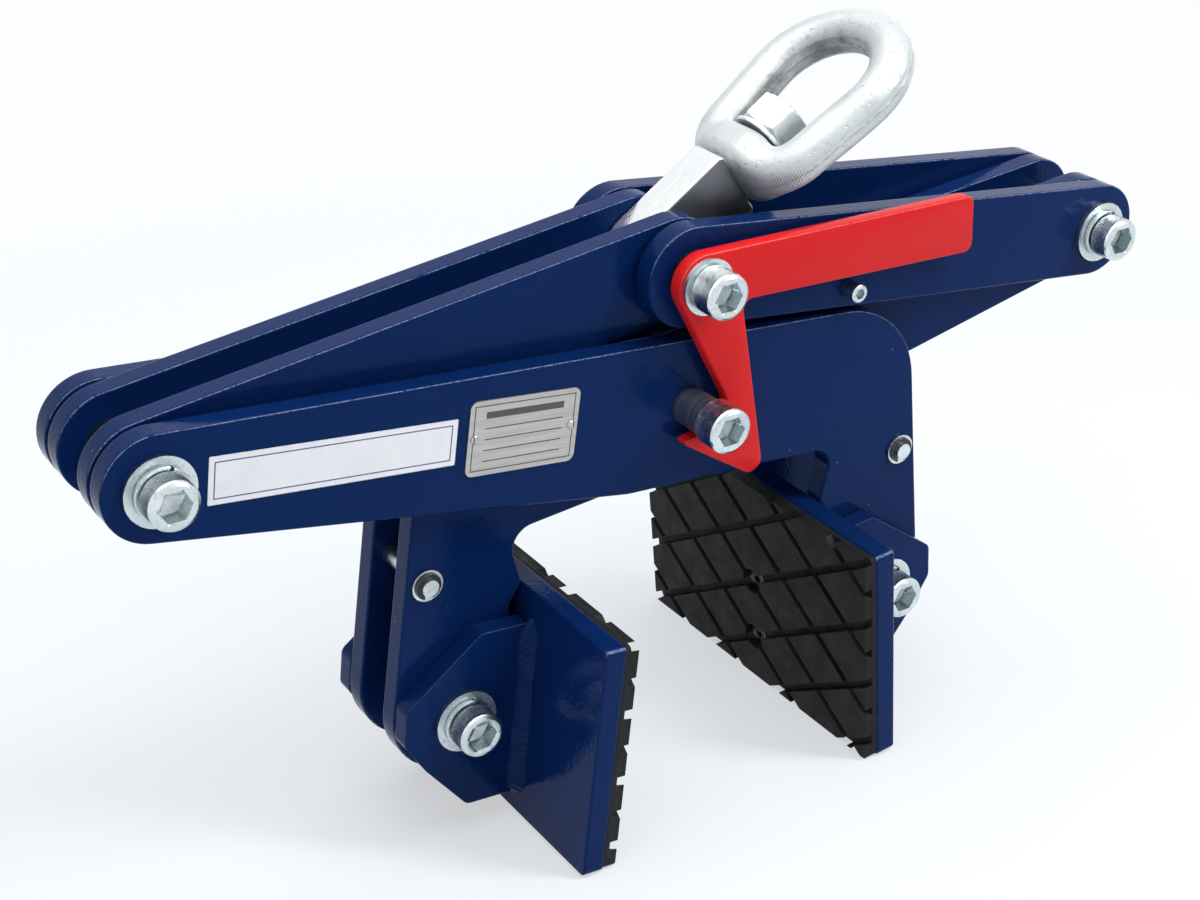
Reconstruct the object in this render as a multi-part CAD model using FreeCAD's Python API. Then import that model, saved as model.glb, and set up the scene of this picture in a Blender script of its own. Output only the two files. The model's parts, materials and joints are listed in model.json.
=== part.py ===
import FreeCAD, Part
import math
import os

# Scissor lifting tongs for slabs: two crossed pairs of arms, two pairs of links up to a lifting eye,
# and two hinged jaws with rubber pads. Millimetres and degrees. X runs along the arms, Y across the
# plates, away from the latch side, and Z up. The origin lies on the floor under the centre pivot.

Vector = FreeCAD.Vector
X_AXIS = Vector(1, 0, 0)
Y_AXIS = Vector(0, 1, 0)
Z_AXIS = Vector(0, 0, 1)
ORIGIN = Vector(0, 0, 0)

# Linkage: a rhombus of arms and links, so that every angle changes at the same rate
arm_reach = 281.5
pivot_rise = 34.3
jaw_pivot_out = 131.0
jaw_pivot_drop = 142.0

# Plates and how they are stacked across Y
plate_thickness = 12.0
inner_gap = 23.0
layer_gap = 2.5
plate_edge_radius = 1.0
arm_end_radius = 26.0
link_end_radius = 26.0

# Arm outline: shoulder under the link, leg end beside the jaw plate, and the hollow and nose inside the leg
link_arm_gap = 3.3
shoulder_radius = 55.0
shoulder_inset = 36.0
leg_end_gap = 1.5
hollow_radius = 12.0
hollow_inset = 2.5
knee_out = 30.0
knee_drop = 41.0
knee_radius = 40.0
nose_height = 19.0
nose_slope = 9.0
nose_corner_radius = 3.0

# Pivot bolts, size M16, with their washers, nuts and tubes
shank_radius = 8.0
head_radius = 12.0
head_height = 16.0
head_edge = 1.5
key_width = 14.0
key_depth = 8.0
nut_width = 24.0
nut_height = 13.0
nut_edge = 1.6
thread_end = 3.0
washer_radius = 17.0
washer_height = 3.0
tube_radius = 13.0
shim_radius = 19.0

# Clearances: turning in a bore, sliding face on face, and the pivot where the linkage is opened
running_clearance = 0.05
face_clearance = 0.1
open_pivot_clearance = 0.1
overrun = 5.0

# Cross pins through the legs, placed from the jaw pivots and held by washers and clips
cross_pin_radius = 4.5
cross_pin_outset = 13.0
cross_pin_rise = 77.0
cross_pin_end = 2.0
pin_washer_radius = 8.5
pin_washer_height = 1.5
pin_clip_radius = 7.0
pin_clip_height = 1.2
pin_clip_mouth = 4.5

# Jaws, measured from the jaw pivot towards the pad and up
jaw_lean = 5.5
jaw_width = 200.0
jaw_plate_offset = 35.5
jaw_plate_thickness = 12.0
jaw_rise = 64.0
jaw_drop = 66.0
jaw_corner_radius = 3.0
jaw_stop_clearance = 0.3
lug_thickness = 10.0
lug_gap = 1.0
lug_top = 47.0
lug_bottom = 53.0
lug_shoulder = 9.0
lug_foot = 8.0
lug_nose = 33.5
lug_nose_top = 15.0
lug_nose_mid = 6.0
lug_heel = 21.7
lug_heel_drop = 21.8
lug_corner_radius = 6.0

# Rubber pads: rhombic tread blocks between two families of grooves that cross
pad_thickness = 7.5
pad_margin = 0.5
groove_width = 4.5
groove_depth = 4.6
rising_groove_pitch = 31.0
rising_groove_angle = 36.0
falling_groove_pitch = 32.5
falling_groove_angle = -32.5
pad_screw_drop = 19.0
pad_screw_spacing = 38.0
pad_screw_hole_radius = 7.5
pad_screw_head_radius = 6.5
pad_screw_head_height = 3.2
pad_screw_radius = 4.0
pad_screw_key_width = 5.0
pad_screw_key_depth = 2.0

# Latch: sleeve on the centre bolt, lever on the top bolt and the stop screw on the link
sleeve_wall = 1.95
sleeve_length = 20.0
latch_spacer_height = 3.0
latch_thickness = 8.0
latch_washer_radius = 14.5
latch_washer_height = 2.5
latch_boss_radius = 16.0
latch_edge_radius = 0.6
handle_length = 172.0
handle_top = 0.5
handle_foot = 30.8
handle_corner_radius = 5.0
elbow_out = 22.3
elbow_drop = 15.2
elbow_radius = 5.0
hook_notch_clearance = 1.5
hook_lip = 7.0
hook_toe_out = 19.5
hook_toe_drop = 44.5
hook_heel_out = 32.3
hook_heel_drop = 44.0
hook_lip_radius = 1.5
hook_toe_radius = 6.0
latch_release_angle = 3.8
stop_screw_along = 103.0
stop_screw_radius = 4.9
stop_screw_edge = 0.5
stop_screw_recess = 2.5
stop_screw_collar_radius = 4.0
stop_screw_stem_radius = 3.0
stop_screw_gap = 0.4
stop_screw_key_width = 5.0
stop_screw_key_depth = 3.0

# Lifting eye: tongue between the inner links, hex bolt and swivelling eye
tongue_lean = 33.4
tongue_width = 40.0
tongue_length = 56.0
tongue_side_clearance = 0.5
tongue_edge_radius = 1.5
eye_bar_radius = 11.25
eye_bow_radius = 37.0
eye_bow_offset = 59.5
eye_corner_inside = 7.5
eye_boss_radius = 17.0
eye_boss_rise = 1.5
eye_boss_edge = 2.0
swivel_radius = 8.0
swivel_depth = 24.0
swivel_washer_radius = 13.9
swivel_washer_overhang = 3.9
swivel_washer_height = 2.5
swivel_head_width = 24.0
swivel_head_height = 13.0

# Rating plate with two rivets, and a plain label, both on the front outer arm
rating_plate_length = 61.0
rating_plate_height = 38.5
rating_plate_thickness = 0.8
rating_plate_corner = 4.0
rating_plate_out = 97.5
rivet_radius = 2.2
rivet_height = 1.0
rivet_inset = 3.6
label_height = 23.3
label_thickness = 0.3
label_corner = 0.6
label_end_gap = 5.2

# Layers across Y
inner_low = inner_gap / 2
inner_high = inner_low + plate_thickness
outer_low = inner_high + layer_gap
outer_high = outer_low + plate_thickness
bore_radius = shank_radius + running_clearance
open_bore_radius = shank_radius + open_pivot_clearance
latch_low = outer_high + latch_spacer_height + face_clearance
latch_high = latch_low + latch_thickness
sleeve_radius = bore_radius + sleeve_wall

# Pivots seen from the front, measured from the centre pivot
open_rad = math.asin(pivot_rise / arm_reach)
end_out = arm_reach * math.cos(open_rad)
LEFT = (-end_out, pivot_rise)
RIGHT = (end_out, pivot_rise)
TOP = (0, pivot_rise + pivot_rise)
CENTRE = (0, 0)
JAW = (jaw_pivot_out, -jaw_pivot_drop)
CROSS_PIN = (jaw_pivot_out + cross_pin_outset, cross_pin_rise - jaw_pivot_drop)

# The pads' lower inner edges stand on the floor
lean_rad = math.radians(jaw_lean)
pad_face_offset = jaw_plate_offset + jaw_plate_thickness + pad_thickness
jaw_foot = (jaw_drop - pad_margin) * math.cos(lean_rad) + pad_face_offset * math.sin(lean_rad)
centre_height = jaw_pivot_drop + jaw_foot

# Places that follow from their neighbours: shoulder under the link, loop corners beside the swivel washer,
# and the label between the left pivot's washer and the rating plate
leg_end_radius = jaw_plate_offset - leg_end_gap
shoulder_out = jaw_pivot_out - shoulder_inset
shoulder_reach = shoulder_radius + link_arm_gap + link_end_radius + shoulder_out * math.sin(open_rad)
shoulder_drop = shoulder_reach / math.cos(open_rad) - TOP[1]
eye_corner_radius = eye_bar_radius + eye_corner_inside
eye_corner_out = swivel_washer_radius - swivel_washer_overhang
label_near = rating_plate_out + rating_plate_length / 2 + label_end_gap
label_far = end_out - washer_radius - label_end_gap


def save(name, shape):
    """Writes one piece, lifted so that the jaws stand on the floor."""
    placed = shape.copy()
    placed.translate(Vector(0, 0, centre_height))
    placed.exportStep("parts/" + name + ".step")


def tangent(a, b):
    """Where the straight line between two signed circles touches each; a negative one is a hollow."""
    run, rise = b[0] - a[0], b[1] - a[1]
    turn = math.atan2(rise, run) + math.asin((a[2] - b[2]) / math.hypot(run, rise))
    out = (math.sin(turn), -math.cos(turn))
    return [(c[0] + c[2] * out[0], c[1] + c[2] * out[1]) for c in (a, b)]


def arc_middle(stop, start, end):
    """The point halfway along the arc round one stop, anticlockwise unless it is a hollow."""
    first = math.atan2(start[1] - stop[1], start[0] - stop[0])
    last = math.atan2(end[1] - stop[1], end[0] - stop[0])
    full = 2 * math.pi
    sweep = (last - first) % full if stop[2] > 0 else -((first - last) % full)
    middle = first + sweep / 2
    radius = abs(stop[2])
    return (stop[0] + radius * math.cos(middle), stop[1] + radius * math.sin(middle))


def upright(point):
    return Vector(point[0], 0, point[1])


def belt(stops):
    """Closed outline seen from the front, drawn like a belt round circles given as (x, z, radius)."""
    count = len(stops)
    lines = [tangent(stops[i], stops[(i + 1) % count]) for i in range(count)]
    edges = []
    for i in range(count):
        start, end = lines[i - 1][1], lines[i][0]
        edges.append(Part.Arc(upright(start), upright(arc_middle(stops[i], start, end)), upright(end)))
        edges.append(Part.LineSegment(upright(lines[i][0]), upright(lines[i][1])))
    return Part.Wire([edge.toShape() for edge in edges])


def slab(wire, low, thickness):
    solid = Part.Face(wire).extrude(Vector(0, thickness, 0))
    solid.translate(Vector(0, low, 0))
    return solid


def soften(solid, radius):
    """Rounds the outline edges on both flat sides of a slab, which has no holes yet."""
    rim = [edge for edge in solid.Edges if edge.BoundBox.YLength < radius / 2]
    return solid.makeFillet(radius, rim)


def rod(point, radius, low, high):
    return Part.makeCylinder(radius, high - low, Vector(point[0], low, point[1]), Y_AXIS)


def bored(solid, point, radius):
    box = solid.BoundBox
    return solid.cut(rod(point, radius, box.YMin - overrun, box.YMax + overrun))


def ring(point, outer, inner, low, high):
    return bored(rod(point, outer, low, high), point, inner)


def hex_corner(width):
    """How far a hexagon's corners are from its middle, for a width over its flats."""
    return width / 2 / math.cos(math.radians(30))


def hex_rod(point, width, low, high):
    corner = hex_corner(width)
    turns = [math.radians(60 * i) for i in range(7)]
    ends = [Vector(point[0] + corner * math.cos(t), low, point[1] + corner * math.sin(t)) for t in turns]
    return Part.Face(Part.makePolygon(ends)).extrude(Vector(0, high - low, 0))


def round_edges(solid, level, size):
    """Chamfers the round edges of an upright-to-Y solid at one Y level."""
    flat = [e for e in solid.Edges if e.BoundBox.YLength < size / 2]
    rim = [e for e in flat if abs(e.BoundBox.YMin - level) < size / 2]
    return solid.makeChamfer(size, rim)


def hex_nut(point, width, low, high, edge, hole):
    """A hexagon with its corners turned off on both sides; a hole of zero leaves it solid."""
    blank = rod(point, hex_corner(width), low, high)
    blank = round_edges(round_edges(blank, low, edge), high, edge)
    nut = blank.common(hex_rod(point, width, low, high))
    return bored(nut, point, hole) if hole else nut


def cap_screw(point, seat, end):
    """Socket-head screw whose head stands in front of its seat and whose shank runs back to its end."""
    head = round_edges(rod(point, head_radius, seat - head_height, seat), seat - head_height, head_edge)
    socket = hex_rod(point, key_width, seat - head_height - overrun, seat - head_height + key_depth)
    shank = round_edges(rod(point, shank_radius, seat, end), end, head_edge)
    return head.cut(socket).fuse(shank).removeSplitter()


def both_sides(low, high):
    return [(low, high), (-high, -low)]


def group(shapes):
    return Part.Compound(shapes)


def mirrored(shape):
    return shape.mirror(ORIGIN, X_AXIS)


def flat_washers(point, spans):
    return [ring(point, washer_radius, bore_radius, *span) for span in spans]


def save_bolt_set(name, point, front_seat, rear_face, washers):
    """Bolt, flat washers and nut of one pivot, with the nut behind the rear washer."""
    nut_low = rear_face + washer_height
    nut_high = nut_low + nut_height
    save(name + "_bolt", cap_screw(point, front_seat, nut_high + thread_end))
    save(name + "_nut", hex_nut(point, nut_width, nut_low, nut_high, nut_edge, bore_radius))
    save(name + "_washers", group(washers))


def arm_outline():
    """The arm whose leg stands on the right: end pivot, knee, hollow, stop nose, leg and shoulder."""
    leg_inside = jaw_pivot_out - leg_end_radius
    nose_drop = jaw_pivot_drop - jaw_rise + nose_corner_radius
    nose_foot = -nose_drop - nose_slope
    hollow_level = nose_height - nose_drop
    back = jaw_plate_offset * math.cos(lean_rad) + (jaw_rise - nose_corner_radius) * math.sin(lean_rad)
    nose_out = jaw_pivot_out - back + jaw_stop_clearance + nose_corner_radius
    return [
        (LEFT[0], LEFT[1], arm_end_radius),
        (-knee_out, -knee_drop + knee_radius, knee_radius),
        (leg_inside - hollow_inset - hollow_radius, hollow_level, -hollow_radius),
        (nose_out, -nose_drop, nose_corner_radius),
        (leg_inside - nose_corner_radius, nose_foot - nose_corner_radius, -nose_corner_radius),
        (JAW[0], JAW[1], leg_end_radius),
        (shoulder_out, -shoulder_drop, shoulder_radius),
    ]


def arm_plate(low):
    plate = soften(slab(belt(arm_outline()), low, plate_thickness), plate_edge_radius)
    for point in (LEFT, CENTRE, JAW):
        plate = bored(plate, point, bore_radius)
    return bored(plate, CROSS_PIN, cross_pin_radius + running_clearance)


def save_arms():
    save("outer_arm_front", arm_plate(-outer_high))
    save("outer_arm_rear", arm_plate(outer_low))
    save("inner_arm_front", mirrored(arm_plate(-inner_high)))
    save("inner_arm_rear", mirrored(arm_plate(inner_low)))


def link_plate(low, top_bore):
    outline = belt([(TOP[0], TOP[1], link_end_radius), (RIGHT[0], RIGHT[1], link_end_radius)])
    plate = soften(slab(outline, low, plate_thickness), plate_edge_radius)
    return bored(bored(plate, TOP, top_bore), RIGHT, bore_radius)


def along_link(along, below):
    """A point on the right link, measured from the top pivot along the link and down from its middle."""
    return (TOP[0] + along * math.cos(open_rad) - below * math.sin(open_rad),
            TOP[1] - along * math.sin(open_rad) - below * math.cos(open_rad))


def stop_screw_point():
    """The handle rests on the screw's head when the hook is under the sleeve."""
    share = (stop_screw_along - elbow_out) / (handle_length - elbow_out)
    drop = elbow_drop + (handle_foot - elbow_drop) * share
    level = drop + stop_screw_gap + stop_screw_radius
    below = level * math.cos(open_rad) - stop_screw_along * math.sin(open_rad)
    return along_link(stop_screw_along, below)


def save_links():
    front = link_plate(-outer_high, bore_radius)
    stem_hole = stop_screw_stem_radius + running_clearance
    save("right_link_front", bored(front, stop_screw_point(), stem_hole))
    save("right_link_rear", link_plate(outer_low, bore_radius))
    save("left_link_front", mirrored(link_plate(-inner_high, open_bore_radius)))
    save("left_link_rear", mirrored(link_plate(inner_low, open_bore_radius)))


def shims(point):
    """Thin washers that keep the inner and outer plates of one pivot apart."""
    spans = both_sides(inner_high + face_clearance, outer_low - face_clearance)
    return group([ring(point, shim_radius, open_bore_radius, *span) for span in spans])


def tube(point, half_gap):
    return ring(point, tube_radius, open_bore_radius, face_clearance - half_gap, half_gap - face_clearance)


def save_pivots():
    near = outer_high + face_clearance
    sides = both_sides(near, near + washer_height)
    for name, point in (("left_pivot", LEFT), ("right_pivot", RIGHT)):
        save_bolt_set(name, point, -near - washer_height, near, flat_washers(point, sides))
        save(name + "_tube", tube(point, inner_low))
        save(name + "_shims", shims(point))
    save_bolt_set("centre", CENTRE, -near - sleeve_length, near, flat_washers(CENTRE, sides[:1]))
    sleeve_bore = sleeve_radius - sleeve_wall
    save("centre_sleeve", ring(CENTRE, sleeve_radius, sleeve_bore, -near - sleeve_length, -near))
    save("centre_tube", tube(CENTRE, inner_low))
    save("centre_shims", shims(CENTRE))


def save_top_pivot():
    washer_low = latch_high + face_clearance
    washer_high = washer_low + latch_washer_height
    rear = (outer_high, outer_high + washer_height)
    front_washer = ring(TOP, latch_washer_radius, bore_radius, -washer_high, -washer_low)
    save_bolt_set("top", TOP, -washer_high, outer_high, flat_washers(TOP, [rear]) + [front_washer])
    spacer_high = outer_high + latch_spacer_height
    save("latch_spacer", ring(TOP, latch_washer_radius, bore_radius, -spacer_high, -outer_high))
    save("top_shims", shims(TOP))


def latch_outline():
    """The lever with its hook under the sleeve: boss, notch, lip, toe, heel, elbow and handle."""
    notch = sleeve_radius + hook_notch_clearance
    lip_out = hook_lip + hook_lip_radius
    lip_drop = math.sqrt((notch + hook_lip_radius + hook_lip_radius) ** 2 - lip_out ** 2)
    handle_end = handle_length - handle_corner_radius
    return [
        (TOP[0], TOP[1], latch_boss_radius),
        (CENTRE[0], CENTRE[1], -notch),
        (lip_out, -lip_drop, hook_lip_radius),
        (hook_toe_out + hook_toe_radius, -hook_toe_drop + hook_toe_radius, hook_toe_radius),
        (hook_heel_out - hook_toe_radius, -hook_heel_drop + hook_toe_radius, hook_toe_radius),
        (elbow_out + elbow_radius, TOP[1] - elbow_drop - elbow_radius, -elbow_radius),
        (handle_end, TOP[1] - handle_foot + handle_corner_radius, handle_corner_radius),
        (handle_end, TOP[1] + handle_top - handle_corner_radius, handle_corner_radius),
    ]


def save_latch():
    lever = soften(slab(belt(latch_outline()), -latch_high, latch_thickness), latch_edge_radius)
    lever = bored(lever, TOP, bore_radius)
    lever.rotate(upright(TOP), Y_AXIS, -latch_release_angle)
    save("latch_lever", lever)
    point = stop_screw_point()
    front = stop_screw_recess - latch_high
    head = round_edges(rod(point, stop_screw_radius, front, -latch_low), front, stop_screw_edge)
    socket = hex_rod(point, stop_screw_key_width, front - overrun, front + stop_screw_key_depth)
    collar = rod(point, stop_screw_collar_radius, -latch_low, -outer_high)
    stem = rod(point, stop_screw_stem_radius, -outer_high, -outer_low)
    save("latch_stop_screw", head.cut(socket).fuse([collar, stem]).removeSplitter())


def save_cross_pin(name, side, plate_high):
    """Pin through both plates of one arm's leg, with a washer and a spring clip outside each plate."""
    point = (side * CROSS_PIN[0], CROSS_PIN[1])
    washer_high = plate_high + pin_washer_height
    clip_high = washer_high + pin_clip_height
    end = clip_high + cross_pin_end
    hole = cross_pin_radius + running_clearance
    mouth = Part.makeBox(pin_clip_mouth, end + end, pin_clip_radius + overrun)
    mouth.translate(Vector(point[0] - pin_clip_mouth / 2, -end, point[1] - pin_clip_radius - overrun))
    save(name + "_cross_pin", rod(point, cross_pin_radius, -end, end))
    washers = [ring(point, pin_washer_radius, hole, *span) for span in both_sides(plate_high, washer_high)]
    clip_rings = [ring(point, pin_clip_radius, hole, *span) for span in both_sides(washer_high, clip_high)]
    save(name + "_pin_washers", group(washers))
    save(name + "_pin_clips", group([clip.cut(mouth) for clip in clip_rings]))


def lug_outline():
    r = lug_corner_radius
    edge = jaw_plate_offset - jaw_corner_radius
    return [
        (edge, lug_top - jaw_corner_radius, jaw_corner_radius),
        (lug_shoulder, lug_top - r, r),
        (-lug_nose + r, lug_nose_top - r, r),
        (-lug_nose + r, -lug_nose_mid, r),
        (-lug_heel + r, -lug_heel_drop, r),
        (lug_foot, -lug_bottom + r, r),
        (edge, -lug_bottom + jaw_corner_radius, jaw_corner_radius),
    ]


def jaw_lug(low):
    return bored(slab(belt(lug_outline()), low, lug_thickness), CENTRE, bore_radius)


def jaw_sheet(offset, thickness, margin, corner):
    """An upright sheet across the jaw, drawn as a wide plate seen along X with rounded corners."""
    sheet = Part.makeBox(thickness, jaw_width - margin - margin, jaw_rise + jaw_drop - margin - margin)
    sheet.translate(Vector(offset, margin - jaw_width / 2, margin - jaw_drop))
    long_edges = [e for e in sheet.Edges if e.BoundBox.XLength > thickness / 2]
    return sheet.makeFillet(corner, long_edges)


def pad_screw_rises():
    return [-pad_screw_drop - pad_screw_spacing / 2, -pad_screw_drop + pad_screw_spacing / 2]


def along_x(radius, low, high, rise):
    return Part.makeCylinder(radius, high - low, Vector(low, 0, rise), X_AXIS)


def grooves(pitch, angle):
    """A family of straight tread grooves over the whole pad, as bars sunk into its face."""
    reach = math.hypot(jaw_width, jaw_rise + jaw_drop)
    count = math.ceil(reach / pitch / 2)
    bars = []
    for i in range(-count, count + 1):
        bar = Part.makeBox(groove_depth + overrun, reach, groove_width)
        bar.translate(Vector(pad_face_offset - groove_depth, -reach / 2, i * pitch - groove_width / 2))
        bar.rotate(ORIGIN, X_AXIS, angle)
        bars.append(bar)
    return bars


def rubber_pad():
    front = jaw_plate_offset + jaw_plate_thickness
    pad = jaw_sheet(front, pad_thickness, pad_margin, jaw_corner_radius)
    box = pad.BoundBox
    tread = grooves(rising_groove_pitch, rising_groove_angle)
    tread += grooves(falling_groove_pitch, falling_groove_angle)
    cuts = [cut for cut in tread if cut.BoundBox.intersect(box)]
    holes = [along_x(pad_screw_hole_radius, front - overrun, pad_face_offset + overrun, rise)
             for rise in pad_screw_rises()]
    return pad.cut(cuts).cut(holes)


def pad_screw(rise):
    seat = jaw_plate_offset + jaw_plate_thickness
    top = seat + pad_screw_head_height
    head = along_x(pad_screw_head_radius, seat, top, rise)
    socket = hex_rod((0, 0), pad_screw_key_width, -pad_screw_key_depth, overrun)
    socket.rotate(ORIGIN, Z_AXIS, -90)
    socket.translate(Vector(top, 0, rise))
    stem = along_x(pad_screw_radius, jaw_plate_offset, seat, rise)
    return head.cut(socket).fuse(stem).removeSplitter()


def jaw_plate():
    plate = jaw_sheet(jaw_plate_offset, jaw_plate_thickness, 0, jaw_corner_radius)
    flats = [e for e in plate.Edges if e.BoundBox.XLength < plate_edge_radius / 2]
    plate = plate.makeFillet(plate_edge_radius, flats)
    hole = pad_screw_radius + running_clearance
    far = jaw_plate_offset + jaw_plate_thickness + overrun
    return plate.cut([along_x(hole, jaw_plate_offset - overrun, far, rise) for rise in pad_screw_rises()])


def save_jaw(name, side, arm_low, arm_high):
    """One jaw: lugs outside the arm's plates, plate, rubber pad and the pivot bolt through them."""

    def put(piece, shape):
        placed = shape.copy()
        placed.rotate(ORIGIN, Y_AXIS, jaw_lean)
        placed.translate(Vector(-jaw_pivot_out, 0, -jaw_pivot_drop))
        save(name + piece, mirrored(placed) if side > 0 else placed)

    lug_low = arm_high + lug_gap
    lug_high = lug_low + lug_thickness
    put("_plate", jaw_plate())
    put("_lugs", group([jaw_lug(lug_low), jaw_lug(-lug_high)]))
    put("_pad", rubber_pad())
    put("_pad_screws", group([pad_screw(rise) for rise in pad_screw_rises()]))
    pivot = (side * jaw_pivot_out, -jaw_pivot_drop)
    near = lug_high + face_clearance
    sides = both_sides(near, near + washer_height)
    save_bolt_set(name, pivot, -near - washer_height, near, flat_washers(pivot, sides))
    save(name + "_tube", tube(pivot, arm_low))


def lean_back(shape):
    """Turns a piece drawn upright above the top pivot down to the lean of the tongue."""
    leaned = shape.copy()
    leaned.rotate(ORIGIN, Y_AXIS, 90 - tongue_lean)
    leaned.translate(upright(TOP))
    return leaned


def on_axis(radius, low, high):
    return Part.makeCylinder(radius, high - low, Vector(0, 0, low), Z_AXIS)


def eye_tongue():
    half = tongue_width / 2
    depth = inner_gap - tongue_side_clearance - tongue_side_clearance
    corner = tongue_edge_radius + tongue_edge_radius
    outline = belt([(0, 0, half), (half - corner, tongue_length - corner, corner),
                    (corner - half, tongue_length - corner, corner)])
    bar = soften(slab(outline, -depth / 2, depth), tongue_edge_radius)
    hole = on_axis(swivel_radius + running_clearance, tongue_length - swivel_depth, tongue_length + overrun)
    return bored(bar, CENTRE, bore_radius).cut(hole)


def bar_round(centre, start, middle, radius):
    """Part of the eye's round bar along an arc in the YZ plane, from start to twice the way to middle."""
    first = math.atan2(start[1] - centre[1], start[0] - centre[0])
    half = math.atan2(middle[1] - centre[1], middle[0] - centre[0])
    sweep = 2 * ((half - first) % (2 * math.pi))
    section = Part.makeCircle(eye_bar_radius, Vector(0, centre[0] + radius, centre[1]), Z_AXIS)
    face = Part.Face(Part.Wire(section))
    face.rotate(Vector(0, *centre), X_AXIS, math.degrees(first))
    return face.revolve(Vector(0, *centre), X_AXIS, math.degrees(sweep))


def bar_straight(start, end):
    a, b = Vector(0, *start), Vector(0, *end)
    return Part.makeCylinder(eye_bar_radius, a.distanceToPoint(b), a, b - a)


def swivel_eye():
    """A pear-shaped loop of round bar in the YZ plane, with a bored boss on its base."""
    base = tongue_length + face_clearance + eye_bar_radius
    corner_level = base + eye_corner_radius
    stops = [
        (0, base + eye_bow_offset, eye_bow_radius),
        (-eye_corner_out, corner_level, eye_corner_radius),
        (eye_corner_out, corner_level, eye_corner_radius),
    ]
    lines = [tangent(stops[i], stops[(i + 1) % len(stops)]) for i in range(len(stops))]
    bars = []
    for i, stop in enumerate(stops):
        start, end = lines[i - 1][1], lines[i][0]
        bars.append(bar_round(stop[:2], start, arc_middle(stop, start, end), stop[2]))
        bars.append(bar_straight(*lines[i]))
    boss_low = tongue_length + face_clearance
    boss = on_axis(eye_boss_radius, boss_low, base + eye_bar_radius + eye_boss_rise)
    boss = boss.makeChamfer(eye_boss_edge, [e for e in boss.Edges if e.BoundBox.ZLength < eye_boss_edge])
    loop = bars[0].fuse(bars[1:] + [boss]).removeSplitter()
    hole = on_axis(swivel_radius + running_clearance, boss_low - overrun, corner_level + eye_corner_radius)
    return loop.cut(hole)


def swivel_bolt(seat):
    head = hex_nut((0, 0), swivel_head_width, 0, swivel_head_height, nut_edge, 0)
    head.rotate(ORIGIN, X_AXIS, 90)
    head.translate(Vector(0, 0, seat))
    return head.fuse(on_axis(swivel_radius, tongue_length - swivel_depth, seat)).removeSplitter()


def save_eye():
    boss_high = tongue_length + face_clearance + eye_bar_radius + eye_bar_radius + eye_boss_rise
    washer_low = boss_high + face_clearance
    seat = washer_low + swivel_washer_height
    washer = on_axis(swivel_washer_radius, washer_low, seat)
    washer = washer.cut(on_axis(swivel_radius + running_clearance, washer_low - overrun, seat + overrun))
    save("eye_tongue", lean_back(eye_tongue()))
    save("swivel_eye", lean_back(swivel_eye()))
    save("swivel_bolt", lean_back(swivel_bolt(seat)))
    save("swivel_washer", lean_back(washer))


def on_arm(shape, out):
    """Sets a piece drawn about its own middle on the front outer arm, on the line between its pivots."""
    placed = shape.copy()
    placed.rotate(ORIGIN, Y_AXIS, math.degrees(open_rad))
    placed.translate(Vector(-out, -outer_high, out * math.tan(open_rad)))
    return placed


def tag(length, height, thickness, corner):
    half_length, half_height = length / 2 - corner, height / 2 - corner
    stops = [(-half_length, -half_height, corner), (half_length, -half_height, corner),
             (half_length, half_height, corner), (-half_length, half_height, corner)]
    return slab(belt(stops), -thickness, thickness)


def save_tags():
    plate = tag(rating_plate_length, rating_plate_height, rating_plate_thickness, rating_plate_corner)
    save("rating_plate", on_arm(plate, rating_plate_out))
    out = rating_plate_length / 2 - rivet_inset
    high = rating_plate_thickness + rivet_height
    rivets = [rod((x, 0), rivet_radius, -high, -rating_plate_thickness) for x in (-out, out)]
    rivets = [round_edges(rivet, -high, rivet_height / 2) for rivet in rivets]
    save("rating_plate_rivets", on_arm(group(rivets), rating_plate_out))
    label = tag(label_far - label_near, label_height, label_thickness, label_corner)
    save("label", on_arm(label, (label_near + label_far) / 2))


os.makedirs("parts", exist_ok=True)
save_arms()
save_links()
save_pivots()
save_top_pivot()
save_latch()
save_cross_pin("outer_arm", 1, outer_high)
save_cross_pin("inner_arm", -1, inner_high)
save_jaw("left_jaw", -1, inner_low, inner_high)
save_jaw("right_jaw", 1, outer_low, outer_high)
save_eye()
save_tags()
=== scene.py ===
import bmesh
import bpy
import json
import math
from mathutils import Matrix, Vector, noise


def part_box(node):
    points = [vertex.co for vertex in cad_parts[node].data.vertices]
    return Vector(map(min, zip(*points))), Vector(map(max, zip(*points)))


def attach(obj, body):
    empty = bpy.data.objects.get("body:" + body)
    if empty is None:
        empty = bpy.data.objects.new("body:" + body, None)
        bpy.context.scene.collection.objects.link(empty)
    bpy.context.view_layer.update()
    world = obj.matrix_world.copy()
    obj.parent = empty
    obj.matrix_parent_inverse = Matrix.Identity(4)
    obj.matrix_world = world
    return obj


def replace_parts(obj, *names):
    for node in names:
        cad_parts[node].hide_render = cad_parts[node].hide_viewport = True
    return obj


# Scissor lifting tongs for slabs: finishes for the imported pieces, and the pieces whose detail is
# modelled here. Metres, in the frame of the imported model: X along the arms, Y away from the latch
# side, Z up, with the floor at zero.

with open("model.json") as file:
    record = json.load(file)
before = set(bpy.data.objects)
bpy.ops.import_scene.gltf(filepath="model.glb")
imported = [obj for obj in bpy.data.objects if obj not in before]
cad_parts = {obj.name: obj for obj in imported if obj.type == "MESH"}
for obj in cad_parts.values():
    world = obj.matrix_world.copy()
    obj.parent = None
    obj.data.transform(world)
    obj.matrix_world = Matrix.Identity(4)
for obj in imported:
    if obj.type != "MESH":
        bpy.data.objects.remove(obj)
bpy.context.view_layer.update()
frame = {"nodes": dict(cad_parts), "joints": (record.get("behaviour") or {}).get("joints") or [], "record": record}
nodes = frame["nodes"]
joints = {joint["name"]: joint for joint in frame["joints"]}

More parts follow.
